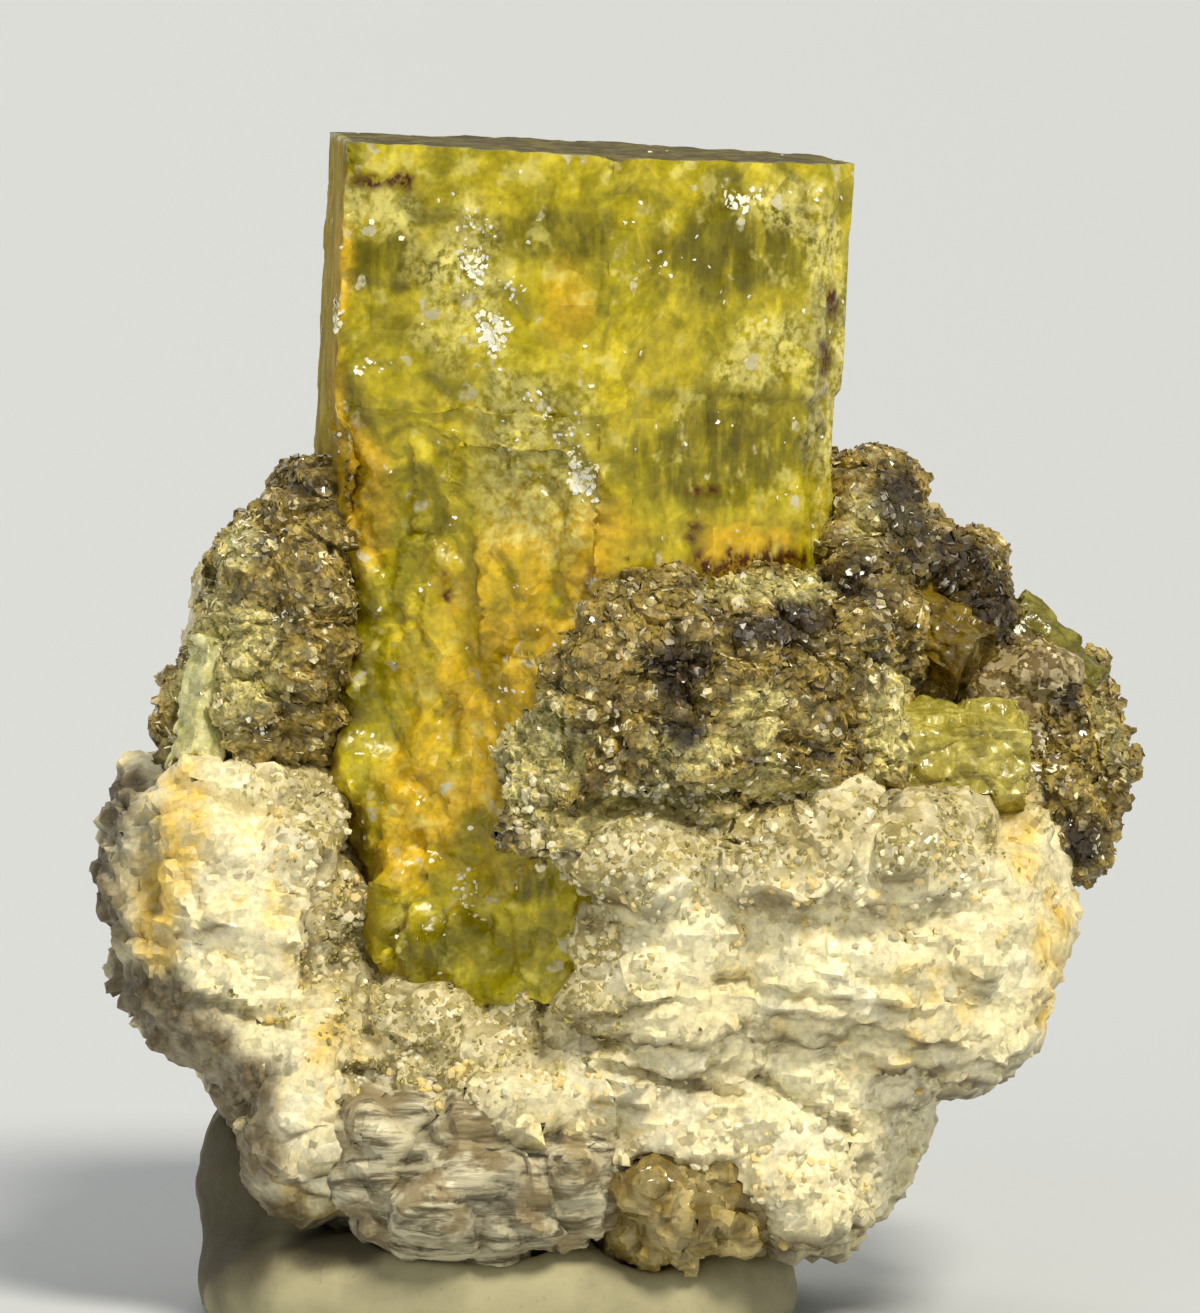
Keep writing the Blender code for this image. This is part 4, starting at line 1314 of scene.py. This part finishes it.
def putty_finish(colours):
    finish, tree, shader = new_finish("grey_putty")
    where = millimetres(tree)
    broad = grain(tree, where, 4.0, 3)
    fine = grain(tree, where, 0.3, 3, 0.6)
    darker, lighter = shade(colours.putty, 0.82), shade(colours.putty, 1.1)
    tone = blend(tree, remap(tree, broad, 0.35, 0.65), darker, lighter)
    tone = blend(tree, remap(tree, fine, 0.6, 0.75, 0, 0.35), tone, (0.2, 0.18, 0.1))
    # Painted shadow: near black in the shadow zones
    tone = blend(tree, times(tree, attribute(tree, "painted_shadow"), 0.9), tone, (0.06, 0.048, 0.022))
    feed(tree, shader, {
        "Base Color": tone,
        "Roughness": remap(tree, fine, 0.3, 0.7, 0.72, 0.9),
        "Normal": relief(tree, fine, 0.04, 0.5),
    })
    return finish


class HELIODOR_OT_putty(BuildingStep, Operator):
    """Build the lump of putty that holds the specimen upright"""

    bl_idname = "heliodor.putty"
    bl_label = "Putty"

    def build(self, sizes, colours):
        putty = solid_copy("putty_lump", "putty_base")
        remesh(putty, sizes.putty_grain)
        displace(putty, putty_relief)
        # Painted shadow that the rock would cast on the putty
        paint_zones(putty, "painted_shadow", PAINTED_SHADOW_ZONES, size=4 * MM)
        dress(putty, "putty_base", putty_finish(colours), 50)


# The stage

VIEW_ELEVATION = math.radians(5)
VIEW_DISTANCE = 0.42
VIEW_TARGET = Vector((5.15 * MM, 0, 32.6 * MM))
PHOTO_HEIGHT_SHOWN = 65.65 * MM
SENSOR = 36.0
FLOOR_REACH = 12.0
LAMP_DISTANCE = 1.0
SKY_COLOUR = (0.93, 0.95, 0.97, 1)
SKY_STRENGTH = 0.3
NEAREST_SEEN, FURTHEST_SEEN = 0.01, 30.0

# Name, azimuth, elevation and width of each broad lamp in degrees, its strength and its colour
LAMPS = [
    ("key", 29, 50, 14, 2.75, (1.0, 0.93, 0.8)),
    ("fill", -26, 24, 50, 0.42, (1.0, 0.97, 0.92)),
    ("glow", 200, 44, 40, 0.8, (1.0, 0.97, 0.9)),
]


def towards(azimuth, elevation):
    """Direction from the object. Azimuth 0 is the photo's side, and a quarter turn is +X."""
    flat = math.cos(elevation)
    return Vector((math.sin(azimuth) * flat, -math.cos(azimuth) * flat, math.sin(elevation)))


def aimed(name, data, place, target):
    made = new_piece(name, data)
    made.location = place
    made.rotation_mode = "QUATERNION"
    made.rotation_quaternion = (target - place).to_track_quat("-Z", "Y")
    return made


class HELIODOR_OT_stage(BuildingStep, Operator):
    """Build the floor, the lamps and the camera"""

    bl_idname = "heliodor.stage"
    bl_label = "Stage"

    def build(self, sizes, colours):
        shape = bmesh.new()
        bmesh.ops.create_grid(shape, x_segments=1, y_segments=1, size=FLOOR_REACH)
        mesh = bpy.data.meshes.new("floor")
        shape.to_mesh(mesh)
        shape.free()
        finish, tree, shader = new_finish("floor")
        feed(tree, shader, {"Base Color": (*colours.floor, 1), "Roughness": 0.7})
        mesh.materials.append(finish)
        new_piece("floor", mesh)

        for name, azimuth, elevation, width, strength, colour in LAMPS:
            lamp = bpy.data.lights.new(name, "SUN")
            lamp.angle = math.radians(width)
            lamp.energy = strength
            lamp.color = colour
            place = VIEW_TARGET + towards(math.radians(azimuth), math.radians(elevation)) * LAMP_DISTANCE
            aimed(name, lamp, place, VIEW_TARGET)

        world = bpy.data.worlds.new("soft_room")
        world.use_nodes = True
        sky = world.node_tree.nodes["Background"]
        feed(world.node_tree, sky, {"Color": SKY_COLOUR, "Strength": SKY_STRENGTH})
        bpy.context.scene.world = world
        bpy.context.scene.view_settings.view_transform = "Standard"

        camera = bpy.data.cameras.new("camera")
        camera.sensor_width = SENSOR
        camera.lens = SENSOR * VIEW_DISTANCE / PHOTO_HEIGHT_SHOWN
        camera.clip_start, camera.clip_end = NEAREST_SEEN, FURTHEST_SEEN
        place = VIEW_TARGET + towards(0, VIEW_ELEVATION) * VIEW_DISTANCE
        bpy.context.scene.camera = aimed("camera", camera, place, VIEW_TARGET)


BUILDERS = (
    HELIODOR_OT_stage,
    HELIODOR_OT_crystal,
    HELIODOR_OT_feldspar,
    HELIODOR_OT_mica,
    HELIODOR_OT_grains,
    HELIODOR_OT_small_beryls,
    HELIODOR_OT_albite_and_quartz,
    HELIODOR_OT_putty,
)


class HELIODOR_PT_panel(Panel):
    """The specimen's sizes, colours and building steps"""

    bl_idname = "HELIODOR_PT_panel"
    bl_label = "Heliodor specimen"
    bl_space_type = "VIEW_3D"
    bl_region_type = "UI"
    bl_category = "Heliodor"

    def draw(self, context):
        for group in (context.scene.heliodor_sizes, context.scene.heliodor_colours):
            box = self.layout.box()
            for name in group.__annotations__:
                box.prop(group, name)
        for builder in BUILDERS:
            self.layout.operator(builder.bl_idname)


CLASSES = (HELIODOR_PG_sizes, HELIODOR_PG_colours, *BUILDERS, HELIODOR_PT_panel)


def register():
    noise.seed_set(NOISE_SEED)
    for one in CLASSES:
        bpy.utils.register_class(one)
    bpy.types.Scene.heliodor_sizes = PointerProperty(type=HELIODOR_PG_sizes)
    bpy.types.Scene.heliodor_colours = PointerProperty(type=HELIODOR_PG_colours)


def unregister():
    del bpy.types.Scene.heliodor_colours
    del bpy.types.Scene.heliodor_sizes
    for one in reversed(CLASSES):
        bpy.utils.unregister_class(one)


def main():
    register()
    bpy.ops.heliodor.stage()
    bpy.ops.heliodor.crystal()
    bpy.ops.heliodor.feldspar()
    bpy.ops.heliodor.mica()
    bpy.ops.heliodor.grains()
    bpy.ops.heliodor.small_beryls()
    bpy.ops.heliodor.albite_and_quartz()
    bpy.ops.heliodor.putty()


if __name__ == "__main__":
    main()
